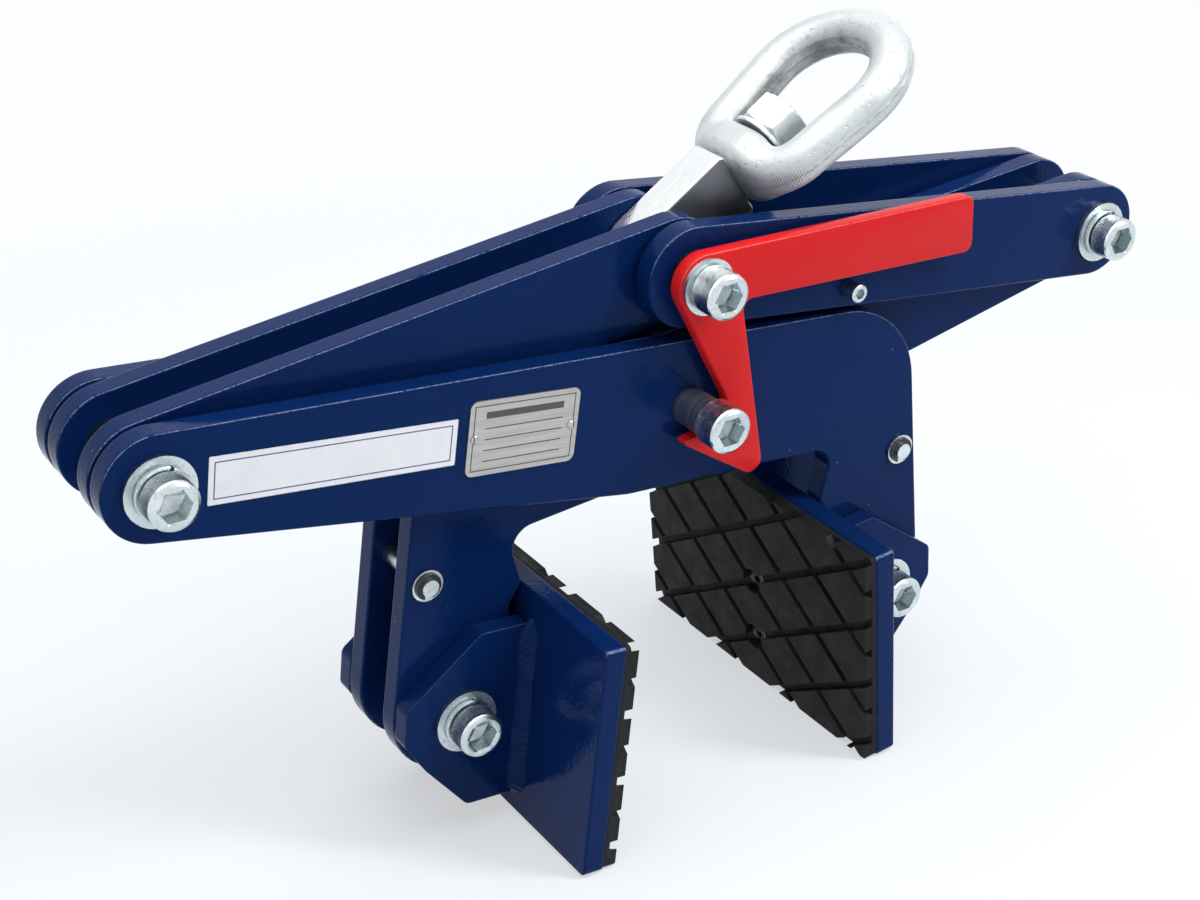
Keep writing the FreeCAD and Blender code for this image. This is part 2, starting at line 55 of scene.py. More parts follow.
# Places, directions and angles, from the joints of the model
TOP_PIVOT = Vector(joints["latch_turn"]["pos_m"])
CENTRE_PIVOT = Vector(joints["scissor"]["pos_m"])
LEFT_PIVOT = Vector(joints["left_link_turn"]["pos_m"])
LATCH_LIFT = math.radians(-joints["latch_turn"]["range_deg"][0])
ARM_SLOPE = math.atan2(LEFT_PIVOT.z - CENTRE_PIVOT.z, CENTRE_PIVOT.x - LEFT_PIVOT.x)
EYE_AXIS = Vector(joints["eye_swivel"]["axis"])
EYE_ACROSS = Vector((0, 1, 0))
EYE_SIDEWAYS = EYE_ACROSS.cross(EYE_AXIS).normalized()

# Socket-head screws
SCREW_STEPS = 320
SCREW_SHARP = math.radians(28)
SHANK_RADIUS = 0.008
HEAD_HEIGHT = 0.016
HEAD_EDGE = 0.002
HEAD_FOOT = 0.0016
KEY_WIDTH = 0.014
KEY_DEPTH = 0.009
KEY_MOUTH = 0.0005
KEY_POINT = 0.0025
KNURL_TEETH = 80
KNURL_DEPTH = 0.0003
KNURL_MARGIN = 0.0009
THREAD_PITCH = 0.002
THREAD_DEPTH = 0.0011
THREAD_SHOWN = 0.005
THREAD_LAYERS = 6
THREAD_CHAMFER = 0.0012

# Split lock washers under the heads
LOCK_WASHER_RADIUS = 0.0129
LOCK_WASHER_BORE = 0.0082
LOCK_WASHER_HEIGHT = 0.0032
LOCK_WASHER_EDGE = 0.0004
LOCK_WASHER_START = math.radians(70)
LOCK_WASHER_SPLIT = math.radians(7)
LOCK_WASHER_STEP = 0.0007
LOCK_WASHER_STEPS = 90
LOCK_WASHER_SHARP = math.radians(35)

# Weld beads between the jaw lugs and the jaw plates, placed from the jaw's pivot
JAW_LEAN = math.radians(5.5)
JAW_PLATE_BACK = 0.0355
BEAD_FOOT = -0.056
BEAD_TOP = 0.050
BEAD_LEG = 0.0074
BEAD_STEP = 0.0006
BEAD_SIDES = 10
BEAD_RIPPLE = 0.0042
BEAD_RIPPLE_HEIGHT = 0.0014
BEAD_RIPPLE_DRIFT = 0.003
BEAD_SLANT = 0.0045
BEAD_CROWN = 0.0006
BEAD_WANDER = 0.0011
BEAD_WANDER_COUNT = 90
BEAD_SUNK = 0.0008
BEAD_SHARP = math.radians(60)

# Longest step along an arc of an outline
ARC_STEP = math.radians(4)

# Latch lever, drawn latched and then lifted to where it rests
LEVER_BOSS = 0.016
LEVER_NOTCH = 0.0115
LEVER_LIP = (-0.0132, -0.0142)
LEVER_LIP_RADIUS = 0.0015
LEVER_TOE = (0.0255, -0.0385)
LEVER_HEEL = (0.0263, -0.038)
LEVER_TOE_RADIUS = 0.006
LEVER_ELBOW = (0.0273, -0.0202)
LEVER_ELBOW_RADIUS = 0.005
LEVER_HANDLE_END = 0.167
LEVER_HANDLE_TOP = -0.0045
LEVER_HANDLE_FOOT = -0.0258
LEVER_CORNER = 0.005
LEVER_EDGE = 0.0009
LEVER_EDGE_STEPS = 3
LEVER_SHARP = math.radians(40)

# Swivel eye, measured from the top pivot along the tongue
EYE_BASE = 0.06735
EYE_BAR = 0.01125
EYE_BOW = 0.037
EYE_BOW_OFFSET = 0.0595
EYE_CORNER = 0.01875
EYE_CORNER_OUT = 0.0135
EYE_CORNER_LEVEL = EYE_BASE + EYE_CORNER
EYE_SEAT_SHIFT = 0.00075
EYE_SEAT_WIDTH = 0.021
EYE_SEAT_SWELL = 0.0078
EYE_SPOT_RADIUS = 0.0190
EYE_SPOT_LEVEL = 0.0802
EYE_SQUARENESS = 0.42
EYE_INNER_TRIM = 0.88
EYE_OUTER_TRIM = 0.95
EYE_FLASH_HEIGHT = 0.0008
EYE_FLASH_WIDTH = 0.05
EYE_FLASH_BREAKS = 140
EYE_FLASH_KEPT = 0.6
EYE_FLASH_CHANGE = 0.9
EYE_FLASH_LAYER = 3
EYE_DENT = 0.00022
EYE_DENT_COUNT = 70
EYE_SIDES = 96
EYE_PATH_STEP = 0.0025
EYE_SHARP = math.radians(50)
FORGED_GRAIN = 0.00026
GRIND_PITCH = 0.0013
GRIND_DEPTH = 0.0006
GRIND_REACH = math.radians(38)

# Hex head in the eye, and the washer under it
HEX_WIDTH = 0.0315
HEX_TURN = math.radians(42)
HEX_SEAT = 0.0827
HEX_HEIGHT = 0.018
HEX_CHAMFER = 0.0028
HEX_CHAMFER_STEPS = 4
HEX_CHAMFER_SLOPE = 1 / math.tan(math.radians(30))
HEX_CROWN_SHARE = 0.97
HEX_CROWN = HEX_WIDTH / 2 * HEX_CROWN_SHARE
HEX_COLLAR = 0.0006
HEX_STEPS = 144
HEX_SHANK_START = 0.032
HEX_SHARP = math.radians(24)
SEAT_WASHER_RADIUS = 0.0176
SEAT_WASHER_BORE = 0.0083
SEAT_WASHER_HEIGHT = 0.0024
SEAT_WASHER_EDGE = 0.0005

# Rubber pads
PAD_EDGE = 0.0007
PAD_MERGE = 0.00001
PAD_FLAT = math.radians(1)
PAD_CORNER = math.radians(40)
PAD_SHARP = math.radians(20)

# Print on the rating plate and the label
PRINT_LINE = 0.0006
PRINT_MARGIN = 0.0020
PRINT_INDENT = 0.0085
PRINT_HEADING = 0.0098
PRINT_HEADING_HEIGHT = 0.0035
PRINT_FIRST_LINE = 0.0045
PRINT_LINE_STEP = 0.0056
PRINT_LINES = 4
LABEL_MARGIN = 0.0025

# Colours of the finishes; a pair is the two ends of a tone that varies
PAINT_DUST = (0.55, 0.58, 0.62)
ZINC_TONES = ((0.72, 0.78, 0.80), (0.55, 0.62, 0.65))
EYE_BOLT_TONES = ((0.82, 0.87, 0.88), (0.68, 0.73, 0.75))
ZINC_PIT = (0.20, 0.21, 0.21)
# Painted shade in the corners and sockets of plated steel
ZINC_SHADE = (0.13, 0.17, 0.18)
ZINC_NICK = (0.13, 0.13, 0.14)
FORGING_TONES = ((0.64, 0.68, 0.69), (0.51, 0.55, 0.56))
FORGING_SMUDGE = (0.17, 0.18, 0.17)
# Painted shade in the corners of the forging
FORGING_SHADE = (0.12, 0.13, 0.14)
# Darker patches on the inner side of the loop
FORGING_INNER_DARK = (0.13, 0.125, 0.115)
FORGING_SEAM = (0.22, 0.21, 0.20)
FORGING_PIT = (0.25, 0.25, 0.25)
TONGUE_EDGE_TONES = ((0.88, 0.90, 0.91), (0.76, 0.79, 0.81))
# Painted dark reflection on the tongue's broad sides
TONGUE_SIDE_SHADE_TONES = ((0.13, 0.14, 0.16), (0.24, 0.25, 0.27))
RUBBER_TONES = ((0.0052, 0.0060, 0.0068), (0.0125, 0.0138, 0.0150))
RUBBER_DUST = (0.22, 0.22, 0.21)
RUBBER_FLECK = (0.5, 0.5, 0.5)
BLACK_TONES = ((0.025, 0.026, 0.028), (0.075, 0.077, 0.080))
BLACK_RUBBED = (0.32, 0.33, 0.34)
TURNED_TONES = ((0.17, 0.19, 0.22), (0.40, 0.44, 0.50))
TURNED_PATCH = (0.10, 0.11, 0.13)
ALUMINIUM_TONES = ((0.42, 0.41, 0.39), (0.58, 0.57, 0.54))
ALUMINIUM_PATCH = (0.36, 0.35, 0.32)
PLATE_INK = (0.02, 0.02, 0.025)
LABEL_TONES = ((0.88, 0.88, 0.89), (0.72, 0.73, 0.76))
LABEL_INK = (0.022, 0.016, 0.12)
LABEL_EDGE = (0.45, 0.45, 0.47)

# Paints: colours, the pale colour of worn edges and painted highlights, fineness of the orange peel and roughness
BLUE_ENAMEL = {
    "deep": (0.0021, 0.0160, 0.084),
    "light": (0.0029, 0.0198, 0.100),
    "chip_and_highlight": (0.55, 0.62, 0.78),
    "sheen": (0.35, 0.55, 1.0),
    "peel": 420.0,
    "gloss": 0.045,
}
RED_ENAMEL = {
    "deep": (0.65, 0.014, 0.016),
    "light": (0.71, 0.018, 0.020),
    "chip_and_highlight": (0.90, 0.30, 0.28),
    "sheen": (1.0, 0.8, 0.8),
    "peel": 380.0,
    "gloss": 0.16,
}

# Relief of the finishes
PAINT_DIMPLE = 0.00022
PAINT_EDGE = 0.0013
SCRATCH_DEPTH = 0.00005
RUBBER_GRAIN = 0.00025
LATHE_LINE = 0.00008
BRUSH_LINE = 0.00004
LABEL_RIPPLE = 0.00005

# Camera, fitted to the photograph
PHOTO_WIDTH = 1200
FOCAL_PIXELS = 2076
SENSOR_WIDTH = 36
CAMERA_PLACE = Vector((-0.5553, -0.7834, 0.6741))
CAMERA_FORWARD = Vector((0.4946, 0.7343, -0.4650))
CAMERA_ROLL = math.radians(0.7)
CAMERA_NEAR = 0.01

# Floor, room and lamps; a softbox is (name, place, width, height, power, colour)
FLOOR_SIZE = 12.0
FLOOR_COLOUR = (0.80, 0.87, 0.95)
FLOOR_GLOW = (0.98, 0.993, 1)
FLOOR_SHADOW_REACH = 0.35
FLOOR_SHADOW_GLOW = 0.54
FLOOR_WHITE_REACH = 1.0
FLOOR_WHITE_GLOW = 0.97
ROOM_BACK_SHARE = 0.6
ROOM_DARK_LEAN = -0.5
ROOM_DARK_LEVEL = 0.06
ROOM_BRIGHT_LEAN = 1.1
ROOM_BRIGHT_LEVEL = 0.40
WHITE = (1, 1, 1)
LAMP_AIM = Vector((0, 0, 0.2))
SOFTBOXES = [
    ("top softbox", (-0.3, 0.1, 2.1), 2.4, 2.0, 34.0, WHITE),
    ("strip softbox", (0.98, -0.93, 1.67), 0.42, 1.4, 27.0, WHITE),
    ("left softbox", (-2.0, -0.8, 1.0), 1.4, 1.4, 3.5, (0.96, 0.98, 1.0)),
]


# Shader building blocks


def connect(tree, socket, value):
    """Gives a socket a value, a colour of three shares, or the output socket that feeds it."""
    if isinstance(value, bpy.types.NodeSocket):
        tree.links.new(value, socket)
    else:
        socket.default_value = (*value, 1) if socket.type == "RGBA" else value


def put(tree, kind, inputs=None, **settings):
    """Adds one node with its settings and inputs."""
    node = tree.nodes.new(kind)
    for name, value in settings.items():
        setattr(node, name, value)
    for key, value in (inputs or {}).items():
        connect(tree, node.inputs[key], value)
    return node


def calc(tree, operation, first, second=0.0, clamp=False):
    node = put(tree, "ShaderNodeMath", {0: first, 1: second}, operation=operation, use_clamp=clamp)
    return node.outputs[0]


def times(tree, first, second):
    return calc(tree, "MULTIPLY", first, second)


def plus(tree, value, extra, share):
    """A value with a share of another one added."""
    return calc(tree, "ADD", value, times(tree, extra, share))


def vector_calc(tree, operation, first, second=(0, 0, 0)):
    return put(tree, "ShaderNodeVectorMath", {0: first, 1: second}, operation=operation).outputs


def split(tree, vector):
    """The X, Y and Z of a vector."""
    return put(tree, "ShaderNodeSeparateXYZ", {"Vector": vector}).outputs


def spread(tree, value, low, high, to_low=0.0, to_high=1.0):
    """Maps a value from one range to another, held at its ends."""
    sockets = {"Value": value, "From Min": low, "From Max": high, "To Min": to_low, "To Max": to_high}
    return put(tree, "ShaderNodeMapRange", sockets).outputs["Result"]


def blend(tree, share, first, second):
    """Mixes two colours by a share."""
    return put(tree, "ShaderNodeMix", {0: share, 6: first, 7: second}, data_type="RGBA").outputs[2]


def lay_colour(tree, under, colour, mask, share):
    """Lays a colour over another one by a share of a mask."""
    return blend(tree, times(tree, mask, share), under, colour)


def surface_place(tree):
    return put(tree, "ShaderNodeTexCoord").outputs["Object"]


def stretched(tree, place, scale):
    """Places scaled along each axis; a small scale draws a texture out."""
    return put(tree, "ShaderNodeMapping", {"Vector": place, "Scale": scale}).outputs["Vector"]


def own_facing(tree):
    """The way the surface faces, in the frame of the piece."""
    facing = put(tree, "ShaderNodeNewGeometry").outputs["Normal"]
    return put(tree, "ShaderNodeVectorTransform", {"Vector": facing}, vector_type="NORMAL",
               convert_from="WORLD", convert_to="OBJECT").outputs["Vector"]


def mark_of(tree, name):
    """A share that the mesh holds at each of its points."""
    return put(tree, "ShaderNodeAttribute", attribute_name=name).outputs["Fac"]


def cloud(tree, place, scale, detail=3.0, roughness=0.55):
    """A soft noise from 0 to 1."""
    sockets = {"Vector": place, "Scale": scale, "Detail": detail, "Roughness": roughness}
    return put(tree, "ShaderNodeTexNoise", sockets).outputs["Fac"]


# Effects that the finishes share


def effect(name, inputs, outputs):
    """An empty shader group with named inputs, given as (name, value), and named outputs."""
    group = bpy.data.node_groups.new(name, "ShaderNodeTree")
    for label, value in inputs:
        socket = group.interface.new_socket(name=label, in_out="INPUT", socket_type="NodeSocketFloat")
        socket.default_value = value
    for label in outputs:
        group.interface.new_socket(name=label, in_out="OUTPUT", socket_type="NodeSocketFloat")
    given = group.nodes.new("NodeGroupInput").outputs
    results = group.nodes.new("NodeGroupOutput").inputs
    return group, given, results


def orange_peel_effect():
    """The soft dimples of sprayed and baked paint."""
    group, given, results = effect("orange peel", [("Size", 260.0)], ["Height"])
    place = surface_place(group)
    coarse = cloud(group, place, given["Size"], 1.0, 0.4)
    fine = cloud(group, place, times(group, given["Size"], 2.7), 1.0, 0.4)
    group.links.new(plus(group, coarse, fine, 0.35), results["Height"])
    return group


def edge_wear_and_highlight_effect():
    """Broken marks along the sharp outer edges of a piece, and a painted highlight along a plate's rounded upper
    edges.
    """
    inputs = [("Radius", 0.002), ("Share", 0.5)]
    group, given, results = effect("edge wear and highlight", inputs, ["Mask", "Painted highlight"])
    place = surface_place(group)
    cut = calc(group, "SUBTRACT", 0.78, times(group, given["Share"], 0.4))
    kept = calc(group, "GREATER_THAN", cloud(group, place, 210.0, 4.0, 0.65), cut)
    bevel = put(group, "ShaderNodeBevel", {"Radius": given["Radius"]}, samples=4).outputs["Normal"]
    facing = put(group, "ShaderNodeNewGeometry").outputs["Normal"]
    edge = spread(group, vector_calc(group, "DOT_PRODUCT", bevel, facing)["Value"], 0.985, 0.86)
    group.links.new(times(group, edge, kept), results["Mask"])
    # Painted highlight: a broken, sparkling light line on the rounded edges between a plate's upper face and its
    # front or back.
    sides = split(group, own_facing(group))
    slant = calc(group, "ABSOLUTE", sides["Y"])
    turned = times(group, spread(group, slant, 0.40, 0.60), spread(group, slant, 0.90, 0.75))
    upper = times(group, turned, spread(group, sides["Z"], 0.15, 0.40))
    sparkle = spread(group, cloud(group, place, 700.0), 0.38, 0.60, 0.25, 1.0)
    group.links.new(times(group, upper, times(group, kept, sparkle)), results["Painted highlight"])
    return group


def flecks_effect():
    """Scattered specks of dust and small nicks."""
    inputs = [("Count", 90.0), ("Size", 0.06), ("Share", 0.3)]
    group, given, results = effect("flecks", inputs, ["Mask"])
    dots = put(group, "ShaderNodeTexVoronoi", {"Vector": surface_place(group), "Scale": given["Count"]})
    near = calc(group, "LESS_THAN", dots.outputs["Distance"], given["Size"])
    pick = put(group, "ShaderNodeSeparateColor", {"Color": dots.outputs["Color"]}).outputs["Red"]
    chosen = calc(group, "LESS_THAN", pick, given["Share"])
    group.links.new(times(group, near, chosen), results["Mask"])
    return group


def plating_effect():
    """Clouding, small pits and fine scratches of plated and galvanised steel."""
    inputs = [("Cloud size", 60.0), ("Pit size", 700.0), ("Scratch size", 500.0)]
    group, given, results = effect("plating", inputs, ["Cloud", "Pits", "Scratches"])
    place = surface_place(group)
    group.links.new(cloud(group, place, given["Cloud size"], 5.0, 0.6), results["Cloud"])
    pits = cloud(group, place, given["Pit size"], 2.0, 0.5)
    group.links.new(spread(group, pits, 0.60, 0.74), results["Pits"])
    drawn = stretched(group, place, (0.05, 1.0, 0.35))
    lines = cloud(group, drawn, given["Scratch size"], 3.0, 0.6)
    group.links.new(spread(group, lines, 0.58, 0.72), results["Scratches"])
    return group


def painted_shade_effect():
    """Painted shade: darkening in corners and under heads, where the surface is closed in."""
    group, given, results = effect("painted_shade", [("Reach", 0.006)], ["Mask"])
    corner = put(group, "ShaderNodeAmbientOcclusion", {"Distance": given["Reach"]}, samples=6)
    closed = spread(group, corner.outputs["AO"], 0.85, 0.35)
    broken = spread(group, cloud(group, surface_place(group), 150.0, 3.0, 0.6), 0.3, 0.6, 0.4, 1.0)
    group.links.new(times(group, closed, broken), results["Mask"])
    return group


ORANGE_PEEL = orange_peel_effect()
EDGE_WEAR_AND_HIGHLIGHT = edge_wear_and_highlight_effect()
FLECKS = flecks_effect()
PLATING = plating_effect()
PAINTED_SHADE = painted_shade_effect()


def place_effect(tree, group, **values):
    """Puts a shared effect into a material with its own values."""
    node = tree.nodes.new("ShaderNodeGroup")
    node.node_tree = group
    for name, value in values.items():
        node.inputs[name.replace("_", " ")].default_value = value
    return node.outputs


# Finishes


def new_finish(name):
    """A new material with its node tree and its shader."""
    finish = bpy.data.materials.new(name)
    finish.use_nodes = True
    return finish, finish.node_tree, finish.node_tree.nodes["Principled BSDF"]


def raise_surface(tree, shader, height, distance, strength, rounding=0.0):
    """Gives the surface its relief, over edges that are rounded off where a radius is given."""
    sockets = {"Height": height, "Distance": distance, "Strength": strength}
    if rounding:
        sockets["Normal"] = put(tree, "ShaderNodeBevel", {"Radius": rounding}, samples=6).outputs["Normal"]
    bump = put(tree, "ShaderNodeBump", sockets)
    tree.links.new(bump.outputs["Normal"], shader.inputs["Normal"])


def scratch_surface(tree, shader, plating):
    """Cuts the scratches and pits of plated steel into its surface."""
    marks = calc(tree, "ADD", plating["Scratches"], plating["Pits"])
    raise_surface(tree, shader, times(tree, marks, -1.0), SCRATCH_DEPTH, 0.6)


def enamel(name, deep, light, chip_and_highlight, sheen, peel, gloss, wear_and_highlight):
    """Sprayed and baked paint with orange peel, dust flecks, worn edges and a painted highlight along its rounded
    upper edges.
    """
    finish, tree, shader = new_finish(name)
    place = surface_place(tree)
    tone = blend(tree, cloud(tree, place, 18.0, 4.0), deep, light)
    dust = place_effect(tree, FLECKS, Count=120.0, Size=0.045, Share=0.07)["Mask"]
    dusty = lay_colour(tree, tone, PAINT_DUST, dust, 0.45)
    # Edge marks in a pale colour: partly worn paint, and a painted highlight along the rounded upper edges.
    rubbed = place_effect(tree, EDGE_WEAR_AND_HIGHLIGHT, Radius=0.0006, Share=1.0)
    edges = calc(tree, "ADD", times(tree, rubbed["Mask"], 0.5), rubbed["Painted highlight"], True)
    tree.links.new(lay_colour(tree, dusty, chip_and_highlight, edges, wear_and_highlight), shader.inputs["Base Color"])
    smears = spread(tree, cloud(tree, place, 34.0, 5.0, 0.6), 0.35, 0.75, gloss, gloss + 0.04)
    tree.links.new(plus(tree, smears, dust, 0.4), shader.inputs["Roughness"])
    shader.inputs["Specular IOR Level"].default_value = 0.11
    shader.inputs["Specular Tint"].default_value = (*sheen, 1)
    dimples = place_effect(tree, ORANGE_PEEL, Size=peel)["Height"]
    raise_surface(tree, shader, dimples, PAINT_DIMPLE, 0.6, PAINT_EDGE)
    return finish


def zinc_plate(name, tones, rough, shade_share):
    """Bright zinc plate: clouded, with pits, scratches, nicked edges and painted shade in its corners."""
    finish, tree, shader = new_finish(name)
    plating = place_effect(tree, PLATING, Cloud_size=70.0)
    tone = blend(tree, spread(tree, plating["Cloud"], 0.35, 0.68), *tones)
    pitted = lay_colour(tree, tone, ZINC_PIT, plating["Pits"], 0.5)
    # Painted shade: darker where the surface is closed in, in corners, sockets and under heads.
    shade_mask = place_effect(tree, PAINTED_SHADE, Reach=0.009)["Mask"]
    shaded = lay_colour(tree, pitted, ZINC_SHADE, shade_mask, shade_share)
    nicks = place_effect(tree, EDGE_WEAR_AND_HIGHLIGHT, Radius=0.0012, Share=0.55)["Mask"]
    tree.links.new(lay_colour(tree, shaded, ZINC_NICK, nicks, 0.75), shader.inputs["Base Color"])
    worn = spread(tree, plating["Cloud"], 0.3, 0.7, rough, rough + 0.14)
    tree.links.new(plus(tree, worn, plating["Scratches"], 0.12), shader.inputs["Roughness"])
    shader.inputs["Metallic"].default_value = 1.0
    scratch_surface(tree, shader, plating)
    return finish


def grind_marks(tree, place):
    """Even strokes across the bar at the corners of the eye, where its flash was ground off."""
    along = vector_calc(tree, "DOT_PRODUCT", place, EYE_AXIS)["Value"]
    out = calc(tree, "ABSOLUTE", split(tree, place)["Y"])
    turns = times(tree, calc(tree, "ADD", along, out), math.sqrt(2) * math.pi / GRIND_PITCH)
    depth = times(tree, mark_of(tree, "ground"), GRIND_DEPTH / FORGED_GRAIN)
    return times(tree, calc(tree, "SINE", turns), depth)


def galvanised_finish():
    """Hot-dip zinc on a forging: satin, clouded, pitted and smudged, with painted shade in its corners and darker
    patches inside the loop.
    """
    finish, tree, shader = new_finish("galvanised_forging")
    place = surface_place(tree)
    plating = place_effect(tree, PLATING, Cloud_size=30.0, Pit_size=420.0, Scratch_size=260.0)
    tone = blend(tree, spread(tree, plating["Cloud"], 0.35, 0.7), *FORGING_TONES)
    patches = cloud(tree, place, 62.0, 6.0, 0.68)
    smudges = spread(tree, patches, 0.60, 0.72)
    smudged = lay_colour(tree, tone, FORGING_SMUDGE, smudges, 0.65)
    # Painted shade: darker where the surface is closed in.
    shade_mask = place_effect(tree, PAINTED_SHADE, Reach=0.04)["Mask"]
    shaded = lay_colour(tree, smudged, FORGING_SHADE, shade_mask, 0.5)
    # Darker in patches on the inner side of the loop.
    inside = spread(tree, mark_of(tree, "inner_side"), 0.6, 0.98)
    inner_dark = times(tree, inside, spread(tree, patches, 0.36, 0.62))
    darkened_inside = lay_colour(tree, shaded, FORGING_INNER_DARK, inner_dark, 0.7)
    broken = spread(tree, cloud(tree, place, 190.0, 4.0), 0.40, 0.56, 0.1, 0.75)
    seamed = lay_colour(tree, darkened_inside, FORGING_SEAM, mark_of(tree, "parting_line"), broken)
    pitted = lay_colour(tree, seamed, FORGING_PIT, plating["Pits"], 0.32)
    tree.links.new(pitted, shader.inputs["Base Color"])
    dull = spread(tree, plating["Cloud"], 0.3, 0.7, 0.34, 0.46)
    tree.links.new(plus(tree, dull, smudges, 0.1), shader.inputs["Roughness"])
    shader.inputs["Metallic"].default_value = 0.3
    grain = plus(tree, cloud(tree, place, 480.0), plating["Pits"], -0.8)
    raise_surface(tree, shader, calc(tree, "ADD", grain, grind_marks(tree, place)), FORGED_GRAIN, 0.9)
    return finish


def tongue_finish():
    """Bright plate on the machined edges of the tongue, and a painted dark reflection on its broad sides."""
    finish, tree, shader = new_finish("tongue_steel")
    plating = place_effect(tree, PLATING, Cloud_size=40.0)
    bright = blend(tree, plating["Cloud"], *TONGUE_EDGE_TONES)
    # Painted reflection: the broad sides are darkened to show the dark parts they would reflect.
    painted_dark = blend(tree, plating["Cloud"], *TONGUE_SIDE_SHADE_TONES)
    across = calc(tree, "ABSOLUTE", split(tree, own_facing(tree))["Y"])
    broad = spread(tree, across, 0.75, 0.95)
    tree.links.new(blend(tree, broad, bright, painted_dark), shader.inputs["Base Color"])
    worn = spread(tree, plating["Cloud"], 0.3, 0.7, 0.14, 0.26)
    scratched = plus(tree, worn, plating["Scratches"], 0.12)
    tree.links.new(plus(tree, scratched, broad, 0.16), shader.inputs["Roughness"])
    shader.inputs["Metallic"].default_value = 0.8
    scratch_surface(tree, shader, plating)
    return finish


def tread_rubber():
    """Black rubber: matt, with a fine grain, pale dust and a few specks."""
    finish, tree, shader = new_finish("tread_rubber")
    place = surface_place(tree)
    tone = blend(tree, cloud(tree, place, 45.0, 5.0, 0.65), *RUBBER_TONES)
    dust = spread(tree, cloud(tree, place, 120.0, 6.0, 0.75), 0.55, 0.8)
    dusty = lay_colour(tree, tone, RUBBER_DUST, dust, 0.06)
    flecks = place_effect(tree, FLECKS, Count=140.0, Size=0.05, Share=0.22)["Mask"]
    tree.links.new(lay_colour(tree, dusty, RUBBER_FLECK, flecks, 0.35), shader.inputs["Base Color"])
    dull = spread(tree, cloud(tree, place, 90.0, 4.0), 0.3, 0.7, 0.52, 0.74)
    tree.links.new(dull, shader.inputs["Roughness"])
    shader.inputs["Specular IOR Level"].default_value = 0.18
    grain = calc(tree, "ADD", cloud(tree, place, 900.0, 2.0), cloud(tree, place, 160.0))
    raise_surface(tree, shader, grain, RUBBER_GRAIN, 0.5)
    return finish


def black_steel():
    """Blackened steel of clips, tubes, shims and pad screws."""
    finish, tree, shader = new_finish("black_steel")
    plating = place_effect(tree, PLATING, Cloud_size=120.0)
    tone = blend(tree, plating["Cloud"], *BLACK_TONES)
    rubbed = place_effect(tree, EDGE_WEAR_AND_HIGHLIGHT, Radius=0.0005, Share=0.9)["Mask"]
    tree.links.new(lay_colour(tree, tone, BLACK_RUBBED, rubbed, 0.6), shader.inputs["Base Color"])
    tree.links.new(spread(tree, plating["Cloud"], 0.3, 0.7, 0.30, 0.48), shader.inputs["Roughness"])
    shader.inputs["Metallic"].default_value = 0.9
    return finish


def turned_steel():
    """Oiled grey steel with fine lathe lines round it."""
    finish, tree, shader = new_finish("turned_steel")
    drawn = stretched(tree, surface_place(tree), (0.03, 1.0, 0.03))
    lines = cloud(tree, drawn, 1100.0, 3.0, 0.6)
    tone = blend(tree, spread(tree, lines, 0.35, 0.65), *TURNED_TONES)
    patches = place_effect(tree, PLATING, Cloud_size=110.0)["Cloud"]
    tree.links.new(lay_colour(tree, tone, TURNED_PATCH, patches, 0.4), shader.inputs["Base Color"])
    tree.links.new(spread(tree, lines, 0.3, 0.7, 0.26, 0.42), shader.inputs["Roughness"])
    shader.inputs["Metallic"].default_value = 0.9
    raise_surface(tree, shader, lines, LATHE_LINE, 0.6)
    return finish


def between(tree, value, low, high):
    """One where a value lies between two others."""
    return times(tree, calc(tree, "GREATER_THAN", value, low), calc(tree, "LESS_THAN", value, high))


def arm_place(tree, node):
    """Places along the arm, out of it and across it, from the middle of a plate on its front."""
    low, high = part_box(node)
    moved = vector_calc(tree, "SUBTRACT", surface_place(tree), (low + high) / 2)["Vector"]
    turned = put(tree, "ShaderNodeMapping", {"Vector": moved, "Rotation": (0, -ARM_SLOPE, 0)})
    return turned.outputs["Vector"]


def plate_halves(node):
    """Half the length and half the height of a plate that lies along the sloping arm."""
    low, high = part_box(node)
    wide, tall = (high.x - low.x) / 2, (high.z - low.z) / 2
    level, rise = math.cos(ARM_SLOPE), math.sin(abs(ARM_SLOPE))
    square = level ** 2 - rise ** 2
    return (wide * level - tall * rise) / square, (tall * level - wide * rise) / square


def printed_form(tree, node, place, margin, bars):
    """The ink of a plain form: a frame line inside the edge, and bars given as (foot, top)."""
    sides = split(tree, place)
    out, up = calc(tree, "ABSOLUTE", sides["X"]), calc(tree, "ABSOLUTE", sides["Z"])
    half_length, half_height = plate_halves(node)
    inside = []
    for depth in (margin, margin + PRINT_LINE):
        in_length = calc(tree, "LESS_THAN", out, half_length - depth)
        inside.append(times(tree, in_length, calc(tree, "LESS_THAN", up, half_height - depth)))
    ink = calc(tree, "SUBTRACT", *inside)
    columns = calc(tree, "LESS_THAN", out, half_length - PRINT_INDENT)
    for low, high in bars:
        bar = times(tree, columns, between(tree, sides["Z"], low, high))
        ink = calc(tree, "MAXIMUM", ink, bar)
    return ink


